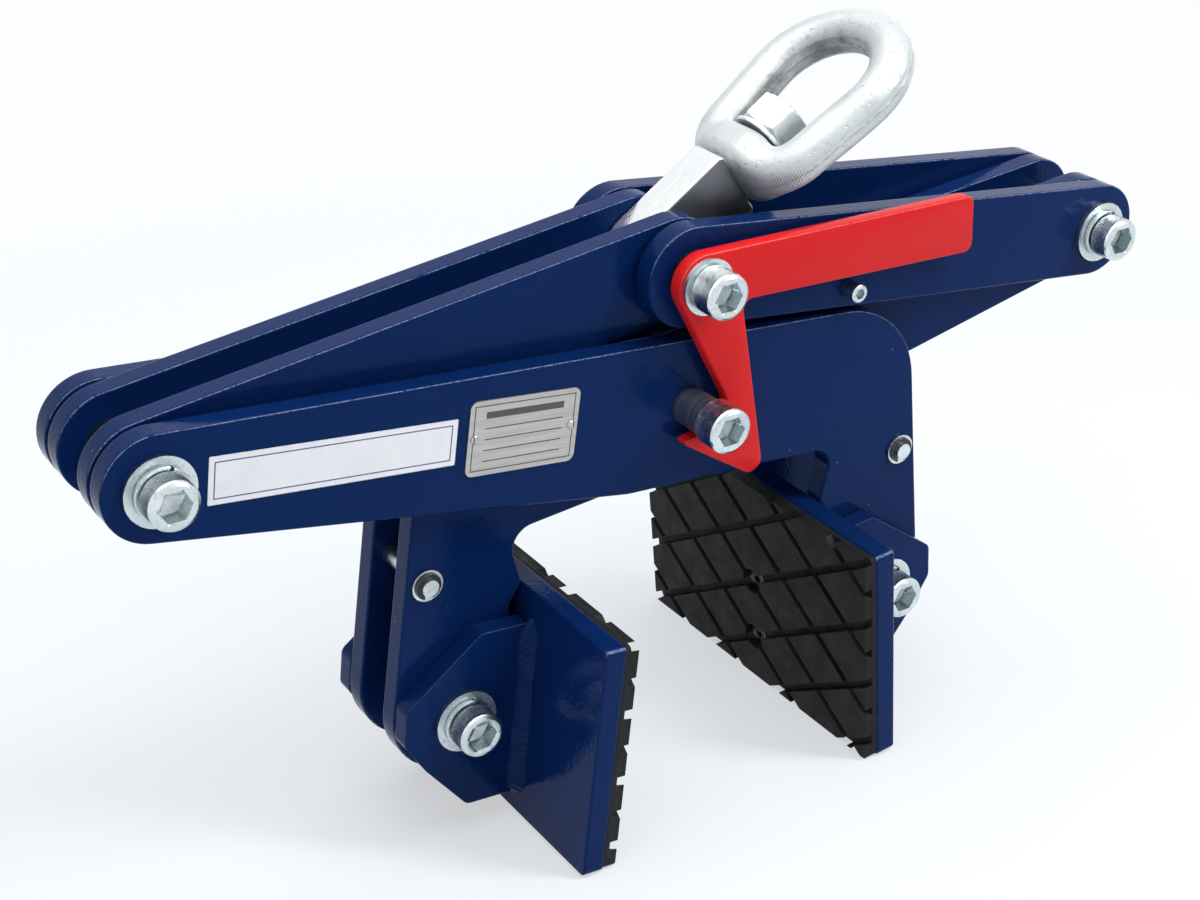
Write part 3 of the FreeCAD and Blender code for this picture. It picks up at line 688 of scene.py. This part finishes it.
def plate_aluminium():
    """Satin aluminium, brushed along the plate, with a plain printed form."""
    finish, tree, shader = new_finish("plate_aluminium")
    place = arm_place(tree, "rating_plate")
    lines = cloud(tree, stretched(tree, place, (0.02, 1.0, 1.0)), 1500.0, 4.0, 0.6)
    tone = blend(tree, spread(tree, lines, 0.35, 0.65), *ALUMINIUM_TONES)
    patches = place_effect(tree, PLATING, Cloud_size=55.0)["Cloud"]
    bare = lay_colour(tree, tone, ALUMINIUM_PATCH, patches, 0.25)
    bars = [(PRINT_HEADING, PRINT_HEADING + PRINT_HEADING_HEIGHT)]
    levels = [PRINT_FIRST_LINE - i * PRINT_LINE_STEP for i in range(PRINT_LINES)]
    bars += [(level, level + PRINT_LINE) for level in levels]
    ink = printed_form(tree, "rating_plate", place, PRINT_MARGIN, bars)
    tree.links.new(lay_colour(tree, bare, PLATE_INK, ink, 0.9), shader.inputs["Base Color"])
    tree.links.new(spread(tree, lines, 0.3, 0.7, 0.32, 0.46), shader.inputs["Roughness"])
    tree.links.new(plus(tree, 0.9, ink, -0.9), shader.inputs["Metallic"])
    raise_surface(tree, shader, lines, BRUSH_LINE, 0.5)
    return finish


def label_vinyl():
    """White adhesive label with a plain navy keyline, faintly smudged."""
    finish, tree, shader = new_finish("label_vinyl")
    place = surface_place(tree)
    smudge = spread(tree, cloud(tree, place, 38.0, 5.0, 0.65), 0.45, 0.8)
    clean = blend(tree, times(tree, smudge, 0.5), *LABEL_TONES)
    ink = printed_form(tree, "label", arm_place(tree, "label"), LABEL_MARGIN, [])
    printed = lay_colour(tree, clean, LABEL_INK, ink, 0.95)
    edge = place_effect(tree, EDGE_WEAR_AND_HIGHLIGHT, Radius=0.0012, Share=0.8)["Mask"]
    tree.links.new(lay_colour(tree, printed, LABEL_EDGE, edge, 0.4), shader.inputs["Base Color"])
    tree.links.new(spread(tree, cloud(tree, place, 60.0), 0.3, 0.7, 0.32, 0.46), shader.inputs["Roughness"])
    raise_surface(tree, shader, cloud(tree, place, 300.0, 2.0), LABEL_RIPPLE, 0.5)
    return finish


FINISHES = {
    "blue_paint": enamel("blue_enamel", wear_and_highlight=0.36, **BLUE_ENAMEL),
    "red_paint": enamel("red_enamel", wear_and_highlight=0.5, **RED_ENAMEL),
    "zinc_steel": zinc_plate("zinc_plate", ZINC_TONES, rough=0.20, shade_share=0.55),
    "galvanised": galvanised_finish(),
    "tongue_steel": tongue_finish(),
    "dark_steel": black_steel(),
    "black_rubber": tread_rubber(),
    "plate_aluminium": plate_aluminium(),
    "white_label": label_vinyl(),
}

OWN_FINISHES = {
    "centre_sleeve": turned_steel(),
    "eye_bolt": zinc_plate("eye_bolt_zinc", EYE_BOLT_TONES, rough=0.32, shade_share=0.15),
    "weld_bead": enamel("bead_enamel", wear_and_highlight=0.0, **BLUE_ENAMEL),
}


def dress_packed_pieces():
    """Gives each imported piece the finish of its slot, or its own."""
    for part in frame["record"]["subparts"]:
        piece = nodes[part["node"]]
        piece.data.materials.clear()
        piece.data.materials.append(OWN_FINISHES.get(part["node"], FINISHES[part["material_slot"]]))


# Mesh building blocks


def add_piece(name, mesh, body, slot, sharp, finish=None):
    """Shows a mesh as a piece that rides on one body, in the finish of its slot or in its own."""
    mesh.name = name
    mesh.shade_smooth()
    mesh.set_sharp_from_angle(angle=sharp)
    mesh.materials.clear()
    mesh.materials.append(finish or FINISHES[slot])
    piece = bpy.data.objects.new(name, mesh)
    bpy.context.scene.collection.objects.link(piece)
    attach(piece, body)
    return piece


def new_piece(name, points, faces, body, slot, sharp, finish=None):
    """A piece from points and faces, with its faces turned outwards."""
    mesh = bpy.data.meshes.new(name)
    mesh.from_pydata(points, [], faces)
    shape = bmesh.new()
    shape.from_mesh(mesh)
    bmesh.ops.recalc_face_normals(shape, faces=shape.faces)
    shape.to_mesh(mesh)
    shape.free()
    return add_piece(name, mesh, body, slot, sharp, finish)


def band_faces(rows, steps, looped=False):
    """Quads between neighbouring closed rows of points; a loop joins its last row to its first."""
    faces = []
    for row in range(rows if looped else rows - 1):
        here, there = row * steps, (row + 1) % rows * steps
        for i in range(steps):
            after = (i + 1) % steps
            faces.append((here + i, here + after, there + after, there + i))
    return faces


def end_faces(rows, steps):
    """The flat ends of a band: its first row and its last."""
    return [tuple(range(steps)), tuple(range((rows - 1) * steps, rows * steps))]


def fan_faces(row, steps, tip):
    """Triangles between one row of points and a tip."""
    start = row * steps
    return [(start + i, start + (i + 1) % steps, tip) for i in range(steps)]


def ring_angles(steps):
    return [math.tau * i / steps for i in range(steps)]


def wave(share):
    """A triangle wave from 0 up to 1 and back over each whole share."""
    return 1 - abs(2 * (share % 1) - 1)


# Radii by angle of turned pieces, and the section of a washer


def plain(radius):
    return lambda angle: radius


def hexagon(width):
    sector = math.pi / 3
    return lambda angle: width / 2 / math.cos(angle % sector - sector / 2)


def knurled(radius):
    """Fine teeth round a screw head."""
    return lambda angle: radius - KNURL_DEPTH * wave(angle * KNURL_TEETH / math.tau)


def threaded(along):
    """The radius of a screw thread at a place along the shank."""
    return lambda angle: SHANK_RADIUS - THREAD_DEPTH * wave(along / THREAD_PITCH - angle / math.tau)


def washer_section(bore, radius, height, edge):
    """Half a washer's cross-section with its outer edges broken, as (along, radius)."""
    return [
        (0, bore),
        (0, radius - edge),
        (edge, radius),
        (height - edge, radius),
        (height, radius - edge),
        (height, bore),
    ]


# Screws and lock washers


def screw_rings(front, seat, end, radius):
    """The screw from its socket out over the head and along the shank, as (Y, radius by angle)."""
    mouth = KEY_WIDTH / math.sqrt(3) + KEY_MOUTH
    rings = [
        (front + KEY_DEPTH, hexagon(KEY_WIDTH)),
        (front + KEY_MOUTH, hexagon(KEY_WIDTH)),
        (front, plain(mouth)),
        (front, plain(radius - HEAD_EDGE)),
        (front + HEAD_EDGE / 2, plain(radius - HEAD_EDGE / 4)),
        (front + HEAD_EDGE, plain(radius)),
        (front + HEAD_EDGE + KNURL_MARGIN, knurled(radius)),
        (seat - HEAD_FOOT - KNURL_MARGIN, knurled(radius)),
        (seat - HEAD_FOOT, plain(radius)),
        (seat, plain(radius - KNURL_MARGIN)),
        (seat, plain(SHANK_RADIUS)),
        (end - THREAD_SHOWN, plain(SHANK_RADIUS)),
    ]
    layers = round((THREAD_SHOWN - THREAD_CHAMFER) / THREAD_PITCH * THREAD_LAYERS)
    for i in range(1, layers + 1):
        along = end - THREAD_SHOWN + i * THREAD_PITCH / THREAD_LAYERS
        rings.append((along, threaded(along)))
    rings.append((end, plain(SHANK_RADIUS - THREAD_DEPTH)))
    return rings


def socket_screw(node, body, lock_washer):
    """A socket-head screw in place of a packed one, over a lock washer where it has one."""
    low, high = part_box(node)
    x, z = (low.x + high.x) / 2, (low.z + high.z) / 2
    washer_seat = low.y + HEAD_HEIGHT
    seat = washer_seat - (LOCK_WASHER_HEIGHT if lock_washer else 0)
    rings = screw_rings(low.y, seat, high.y, (high.x - low.x) / 2)
    points = []
    for along, reach in rings:
        for angle in ring_angles(SCREW_STEPS):
            radius = reach(angle)
            points.append((x + radius * math.cos(angle), along, z + radius * math.sin(angle)))
    faces = band_faces(len(rings), SCREW_STEPS)
    tips = [(0, low.y + KEY_DEPTH + KEY_POINT), (len(rings) - 1, high.y)]
    for row, along in tips:
        faces += fan_faces(row, SCREW_STEPS, len(points))
        points.append((x, along, z))
    screw = new_piece(node + "_turned", points, faces, body, "zinc_steel", SCREW_SHARP)
    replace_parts(screw, node)
    if lock_washer:
        add_lock_washer(node.replace("_bolt", "_lock_washer"), body, x, z, washer_seat)


def add_lock_washer(name, body, x, z, seat):
    """A split spring washer, whose two ends stand a little apart."""
    height = LOCK_WASHER_HEIGHT
    section = washer_section(LOCK_WASHER_BORE, LOCK_WASHER_RADIUS, height, LOCK_WASHER_EDGE)
    turn = math.tau - LOCK_WASHER_SPLIT
    rows = LOCK_WASHER_STEPS + 1
    points = []
    for i in range(rows):
        share = i / LOCK_WASHER_STEPS
        angle = LOCK_WASHER_START + turn * share
        squeeze = 1 - LOCK_WASHER_STEP / height * (1 - share)
        for along, radius in section:
            y = seat - (height - along) * squeeze
            points.append((x + radius * math.cos(angle), y, z + radius * math.sin(angle)))
    faces = band_faces(rows, len(section)) + end_faces(rows, len(section))
    new_piece(name, points, faces, body, "zinc_steel", LOCK_WASHER_SHARP)


def screws():
    for node, body in (("left_pivot_bolt", "outer_arm"), ("right_pivot_bolt", "inner_arm"),
                       ("left_jaw_bolt", "left_jaw_pin"), ("right_jaw_bolt", "right_jaw_pin")):
        socket_screw(node, body, True)
    for node, body in (("top_bolt", "right_link"), ("centre_bolt", "centre_pivot")):
        socket_screw(node, body, False)


# Weld beads


def bead_point(share, corner, along, drift):
    """A point of the bead's round face, from the lug's side at 0 to the plate's side at 1."""
    ripple = wave((along + BEAD_SLANT * share) / BEAD_RIPPLE + drift)
    leg = BEAD_LEG + BEAD_WANDER * noise.noise(Vector((along * BEAD_WANDER_COUNT, corner, drift)))
    turn = math.pi / 2 * share
    swell = (BEAD_CROWN + BEAD_RIPPLE_HEIGHT * ripple) * math.sin(math.pi * share)
    flat = Vector((leg * (1 - share), leg * share))
    return flat + Vector((math.cos(turn), math.sin(turn))) * swell


def weld_bead(name, body, side, face):
    """A ripple bead up the corner between one lug face and the back of a jaw plate."""
    pivot = Vector(joints[body + "_swing"]["pos_m"])
    lean = Matrix.Rotation(side * JAW_LEAN, 3, "Y")
    steps = round((BEAD_TOP - BEAD_FOOT) / BEAD_STEP)
    outward = math.copysign(1, face)
    shares = [j / (BEAD_SIDES - 1) for j in range(BEAD_SIDES)]
    points = []
    for i in range(steps + 1):
        along = BEAD_FOOT + (BEAD_TOP - BEAD_FOOT) * i / steps
        ends = min(1, math.sqrt(min(i, steps - i) * BEAD_STEP / BEAD_LEG))
        profile = [bead_point(share, face, along, i * BEAD_RIPPLE_DRIFT) * ends for share in shares]
        profile.append(Vector((0, 0)))
        for along_lug, along_plate in profile:
            local = Vector((side * (JAW_PLATE_BACK - along_lug + BEAD_SUNK), 0, along))
            placed = pivot + lean @ local
            points.append((placed.x, face + outward * (along_plate - BEAD_SUNK), placed.z))
    count = BEAD_SIDES + 1
    faces = band_faces(steps + 1, count) + end_faces(steps + 1, count)
    new_piece(name, points, faces, body, "blue_paint", BEAD_SHARP, OWN_FINISHES["weld_bead"])


def weld_beads():
    for body, side in (("left_jaw", 1), ("right_jaw", -1)):
        low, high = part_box(body + "_lugs")
        for name, face in (("_front_bead", low.y), ("_rear_bead", high.y)):
            weld_bead(body + name, body, side, face)


# Outlines drawn like a belt round circles; a negative radius is a hollow


def tangent(a, b):
    """The two ends of the belt's straight run from one circle to the next."""
    run, rise = b[0] - a[0], b[1] - a[1]
    turn = math.atan2(rise, run) + math.asin((a[2] - b[2]) / math.hypot(run, rise))
    out = (math.sin(turn), -math.cos(turn))
    return [(c[0] + c[2] * out[0], c[1] + c[2] * out[1]) for c in (a, b)]


def arc_points(stop, start, end):
    """Points round one circle, from where the belt meets it to where it leaves."""
    first = math.atan2(start[1] - stop[1], start[0] - stop[0])
    last = math.atan2(end[1] - stop[1], end[0] - stop[0])
    sweep = (last - first) % math.tau if stop[2] > 0 else -((first - last) % math.tau)
    count = max(1, math.ceil(abs(sweep) / ARC_STEP))
    radius = abs(stop[2])
    angles = [first + sweep * i / count for i in range(count + 1)]
    return [(stop[0] + radius * math.cos(a), stop[1] + radius * math.sin(a)) for a in angles]


def belt(stops):
    """The outline round circles given as (across, up, radius), anticlockwise."""
    count = len(stops)
    lines = [tangent(stops[i], stops[(i + 1) % count]) for i in range(count)]
    outline = []
    for i in range(count):
        outline += arc_points(stops[i], lines[i - 1][1], lines[i][0])
    return outline


# Latch lever


def lever_stops():
    """The circles of the lever's outline, from the centre pivot."""
    top = (TOP_PIVOT - CENTRE_PIVOT).z
    return [
        (0, top, LEVER_BOSS),
        (0, 0, -LEVER_NOTCH),
        (*LEVER_LIP, LEVER_LIP_RADIUS),
        (*LEVER_TOE, LEVER_TOE_RADIUS),
        (*LEVER_HEEL, LEVER_TOE_RADIUS),
        (LEVER_ELBOW[0], top + LEVER_ELBOW[1], -LEVER_ELBOW_RADIUS),
        (LEVER_HANDLE_END, top + LEVER_HANDLE_FOOT, LEVER_CORNER),
        (LEVER_HANDLE_END, top + LEVER_HANDLE_TOP, LEVER_CORNER),
    ]


def inset(outline, depth):
    """The outline moved inwards, for the rounded edge of a plate."""
    count = len(outline)
    moved = []
    for i in range(count):
        before, after = Vector(outline[i - 1]), Vector(outline[(i + 1) % count])
        along = (after - before).normalized()
        moved.append((outline[i][0] - along.y * depth, outline[i][1] + along.x * depth))
    return moved


def latch_lever():
    """The lever as a plate with rounded edges, lifted about the top pivot."""
    low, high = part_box("latch_lever")
    outline = belt(lever_stops())
    turn = Matrix.Rotation(LATCH_LIFT, 2)
    pivot = Vector((TOP_PIVOT.x, TOP_PIVOT.z))
    centre = Vector((CENTRE_PIVOT.x, CENTRE_PIVOT.z))
    angles = [math.pi / 2 * (1 - i / LEVER_EDGE_STEPS) for i in range(LEVER_EDGE_STEPS + 1)]
    rows = [(LEVER_EDGE * (1 - math.cos(a)), low.y + LEVER_EDGE * (1 - math.sin(a))) for a in angles]
    rows += [(depth, low.y + high.y - along) for depth, along in rows[::-1]]
    points = []
    for depth, along in rows:
        for point in inset(outline, depth):
            placed = pivot + turn @ (centre + Vector(point) - pivot)
            points.append((placed.x, along, placed.y))
    faces = band_faces(len(rows), len(outline)) + end_faces(len(rows), len(outline))
    lever = new_piece("latch_lever_plate", points, faces, "latch", "red_paint", LEVER_SHARP)
    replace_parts(lever, "latch_lever")


# Swivel eye


def eye_path():
    """The middle of the loop's bar as (across, along the tongue), in short steps."""
    stops = [
        (0, EYE_BASE + EYE_BOW_OFFSET, EYE_BOW),
        (-EYE_CORNER_OUT, EYE_CORNER_LEVEL, EYE_CORNER),
        (EYE_CORNER_OUT, EYE_CORNER_LEVEL, EYE_CORNER),
    ]
    rough = [Vector(point) for point in belt(stops)]
    path = []
    for i, after in enumerate(rough):
        before = rough[i - 1]
        pieces = max(1, math.ceil((after - before).length / EYE_PATH_STEP))
        path += [before.lerp(after, j / pieces) for j in range(pieces)]
    return path


def eye_section(angle, base_share, along):
    """One point of the bar's section, outward in the loop's plane and sideways from it."""
    squareness = 1 - EYE_SQUARENESS * base_share
    out, side = math.cos(angle), math.sin(angle)
    out = math.copysign(abs(out) ** squareness, out)
    side = math.copysign(abs(side) ** squareness, side)
    flash = EYE_FLASH_HEIGHT * math.exp(-(math.sin(angle) / EYE_FLASH_WIDTH) ** 2)
    breaks = noise.noise(Vector((along * EYE_FLASH_BREAKS, math.cos(angle), EYE_FLASH_LAYER)))
    flash *= max(0, EYE_FLASH_KEPT + EYE_FLASH_CHANGE * breaks)
    trimmed = max(-EYE_INNER_TRIM, min(EYE_OUTER_TRIM, out))
    out = out * base_share + trimmed * (1 - base_share)
    reach = EYE_BAR + EYE_SEAT_SHIFT * base_share + flash * (1 - base_share)
    return reach * out, (EYE_BAR + EYE_SEAT_SWELL * base_share) * side


def eye_point(middle, outward, out, side, base_share):
    """A point of the loop in the model, with the spot face of the base and the dents of forging."""
    flat = middle + Vector((0, EYE_SEAT_SHIFT * base_share)) + outward * out
    if middle.y < EYE_CORNER_LEVEL and math.hypot(flat.x, side) < EYE_SPOT_RADIUS:
        flat.y = min(flat.y, EYE_SPOT_LEVEL)
    place = TOP_PIVOT + EYE_ACROSS * flat.x + EYE_AXIS * flat.y + EYE_SIDEWAYS * side
    dent = EYE_DENT * noise.noise(place * EYE_DENT_COUNT) * (1 - base_share)
    away = (EYE_SIDEWAYS * side + EYE_ACROSS * outward.x * out).normalized()
    return tuple(place + away * dent)


def ground_share(middle, angle):
    """How strongly a point near one of the loop's lower corners shows grind marks."""
    if middle.y >= EYE_CORNER_LEVEL:
        return 0
    spoke = Vector((abs(middle.x) - EYE_CORNER_OUT, middle.y - EYE_CORNER_LEVEL))
    turned = spoke.angle(Vector((1, -1)))
    from_outer = abs((angle + math.pi) % math.tau - math.pi)
    return max(0, 1 - turned / GRIND_REACH) * max(0, 1 - from_outer / GRIND_REACH)


def swivel_eye():
    """The forged loop, swept along its path, with marks for its finish at each point."""
    path = eye_path()
    count = len(path)
    points = []
    marks = {"inner_side": [], "parting_line": [], "ground": []}
    travelled = 0
    for i, middle in enumerate(path):
        onward = (path[(i + 1) % count] - path[i - 1]).normalized()
        outward = Vector((onward.y, -onward.x))
        travelled += (middle - path[i - 1]).length
        near_base = middle.y < EYE_CORNER_LEVEL
        base_share = math.exp(-(middle.x / EYE_SEAT_WIDTH) ** 4) if near_base else 0
        for angle in ring_angles(EYE_SIDES):
            out, side = eye_section(angle, base_share, travelled)
            points.append(eye_point(middle, outward, out, side, base_share))
            marks["inner_side"].append(max(0, -math.cos(angle)) * (1 - base_share))
            marks["parting_line"].append(0 if angle else 1 - base_share)
            marks["ground"].append(ground_share(middle, angle))
    faces = band_faces(count, EYE_SIDES, looped=True)
    eye = new_piece("swivel_eye_forging", points, faces, "eye", "galvanised", EYE_SHARP)
    for mark, values in marks.items():
        eye.data.attributes.new(mark, "FLOAT", "POINT").data.foreach_set("value", values)
    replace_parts(eye, "swivel_eye")


# Hex bolt and washer in the eye


def turned_on_tongue(name, rings, hollow):
    """A piece turned about the tongue's axis, from rings given as (along, radius by angle)."""
    points = []
    for along, reach in rings:
        for angle in ring_angles(HEX_STEPS):
            spoke = EYE_ACROSS * math.cos(angle) + EYE_SIDEWAYS * math.sin(angle)
            points.append(tuple(TOP_PIVOT + EYE_AXIS * along + spoke * reach(angle)))
    faces = band_faces(len(rings), HEX_STEPS, looped=hollow)
    if not hollow:
        faces += end_faces(len(rings), HEX_STEPS)
    return new_piece(name, points, faces, "tongue", "zinc_steel", HEX_SHARP, OWN_FINISHES["eye_bolt"])


def hex_head(depth):
    """The hexagon with its corners turned off by a cone, at a depth from the nearer end."""
    cone = HEX_CROWN + depth * HEX_CHAMFER_SLOPE
    flats = hexagon(HEX_WIDTH)
    return lambda angle: min(flats(angle - HEX_TURN), cone)


def swivel_bolt():
    """The hex bolt that holds the eye on the tongue, with chamfered corners and a washer face."""
    top = HEX_SEAT + HEX_HEIGHT
    low = HEX_SEAT + HEX_COLLAR
    rings = [
        (HEX_SHANK_START, plain(SHANK_RADIUS)),
        (HEX_SEAT, plain(SHANK_RADIUS)),
        (HEX_SEAT, plain(HEX_CROWN)),
        (low, plain(HEX_CROWN)),
    ]
    depths = [HEX_CHAMFER * i / HEX_CHAMFER_STEPS for i in range(HEX_CHAMFER_STEPS + 1)]
    rings += [(low + depth, hex_head(depth)) for depth in depths]
    rings += [(top - depth, hex_head(depth)) for depth in depths[::-1]]
    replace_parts(turned_on_tongue("swivel_bolt_turned", rings, False), "swivel_bolt")


def seat_washer():
    """The plain washer between the hex head and the eye."""
    low = HEX_SEAT - SEAT_WASHER_HEIGHT
    section = washer_section(SEAT_WASHER_BORE, SEAT_WASHER_RADIUS, SEAT_WASHER_HEIGHT, SEAT_WASHER_EDGE)
    rings = [(low + along, plain(radius)) for along, radius in section]
    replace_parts(turned_on_tongue("swivel_washer_turned", rings, True), "swivel_washer")


# Rubber pads


def moulded_pad(node, body):
    """The pad with the edges of its tread blocks rounded as moulded rubber is."""
    mesh = nodes[node].data.copy()
    shape = bmesh.new()
    shape.from_mesh(mesh)
    bmesh.ops.remove_doubles(shape, verts=shape.verts, dist=PAD_MERGE)
    bmesh.ops.dissolve_limit(shape, angle_limit=PAD_FLAT, verts=shape.verts, edges=shape.edges)
    edges = [e for e in shape.edges if e.is_convex and e.calc_face_angle(0) > PAD_CORNER]
    bmesh.ops.bevel(shape, geom=edges, offset=PAD_EDGE, segments=1, affect="EDGES", clamp_overlap=True)
    shape.to_mesh(mesh)
    shape.free()
    pad = add_piece(node + "_moulded", mesh, body, "black_rubber", PAD_SHARP)
    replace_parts(pad, node)


# Stage


def seen_directly(tree):
    """One for what the camera sees by itself, in metal or through glass; nothing for lighting."""
    rays = put(tree, "ShaderNodeLightPath").outputs
    seen = calc(tree, "MAXIMUM", rays["Is Camera Ray"], rays["Is Glossy Ray"])
    return calc(tree, "MAXIMUM", seen, rays["Is Transmission Ray"])


def floor_finish():
    """Pale paper that the camera and reflections see as white, with the object's shadow kept."""
    finish, tree, shader = new_finish("floor_paper")
    shader.inputs["Base Color"].default_value = (*FLOOR_COLOUR, 1)
    shader.inputs["Roughness"].default_value = 0.9
    shader.inputs["Specular IOR Level"].default_value = 0.0
    glow = put(tree, "ShaderNodeEmission", {"Color": FLOOR_GLOW, "Strength": 1.0})
    reach = vector_calc(tree, "LENGTH", surface_place(tree))["Value"]
    pale = spread(tree, reach, FLOOR_SHADOW_REACH, FLOOR_WHITE_REACH, FLOOR_SHADOW_GLOW, FLOOR_WHITE_GLOW)
    share = times(tree, seen_directly(tree), pale)
    mixed = put(tree, "ShaderNodeMixShader", {0: share, 1: shader.outputs[0], 2: glow.outputs[0]})
    tree.links.new(mixed.outputs[0], tree.nodes["Material Output"].inputs["Surface"])
    return finish


def add_floor():
    mesh = bpy.data.meshes.new("floor")
    half = FLOOR_SIZE / 2
    corners = [(-half, -half, 0), (half, -half, 0), (half, half, 0), (-half, half, 0)]
    mesh.from_pydata(corners, [], [(0, 1, 2, 3)])
    mesh.materials.append(floor_finish())
    floor = bpy.data.objects.new("floor", mesh)
    bpy.context.scene.collection.objects.link(floor)


def add_softbox(name, place, width, height, power, colour):
    """A rectangular lamp aimed at the tongs."""
    lamp = bpy.data.lights.new(name, "AREA")
    lamp.shape = "RECTANGLE"
    lamp.size = width
    lamp.size_y = height
    lamp.energy = power
    lamp.color = colour
    holder = bpy.data.objects.new(name, lamp)
    holder.location = place
    holder.rotation_euler = (LAMP_AIM - Vector(place)).to_track_quat("-Z", "Y").to_euler()
    bpy.context.scene.collection.objects.link(holder)


def add_room():
    """A pale room: white to the camera, and brighter above and behind than in front."""
    world = bpy.data.worlds.new("room")
    bpy.context.scene.world = world
    world.use_nodes = True
    tree = world.node_tree
    backdrop = tree.nodes["Background"]
    sides = split(tree, put(tree, "ShaderNodeTexCoord").outputs["Generated"])
    lean = plus(tree, sides["Z"], sides["Y"], ROOM_BACK_SHARE)
    soft = spread(tree, lean, ROOM_DARK_LEAN, ROOM_BRIGHT_LEAN, ROOM_DARK_LEVEL, ROOM_BRIGHT_LEVEL)
    level = put(tree, "ShaderNodeMix", {0: seen_directly(tree), 2: soft, 3: 1.0}, data_type="FLOAT")
    tree.links.new(level.outputs[0], backdrop.inputs["Strength"])
    backdrop.inputs["Color"].default_value = (*WHITE, 1)


def add_camera():
    """A camera where the fit to the photograph puts it."""
    lens = bpy.data.cameras.new("camera")
    lens.sensor_width = SENSOR_WIDTH
    lens.sensor_fit = "HORIZONTAL"
    lens.lens = FOCAL_PIXELS / PHOTO_WIDTH * SENSOR_WIDTH
    lens.clip_start = CAMERA_NEAR
    camera = bpy.data.objects.new("camera", lens)
    camera.location = CAMERA_PLACE
    level = CAMERA_FORWARD.to_track_quat("-Z", "Y").to_matrix()
    camera.rotation_euler = (level @ Matrix.Rotation(CAMERA_ROLL, 3, "Z")).to_euler()
    bpy.context.scene.collection.objects.link(camera)
    bpy.context.scene.camera = camera


def add_stage():
    add_floor()
    add_room()
    for softbox in SOFTBOXES:
        add_softbox(*softbox)
    bpy.context.scene.view_settings.view_transform = "Standard"
    add_camera()


dress_packed_pieces()
screws()
weld_beads()
latch_lever()
swivel_eye()
swivel_bolt()
seat_washer()
for side in ("left", "right"):
    moulded_pad(side + "_jaw_pad", side + "_jaw")
add_stage()
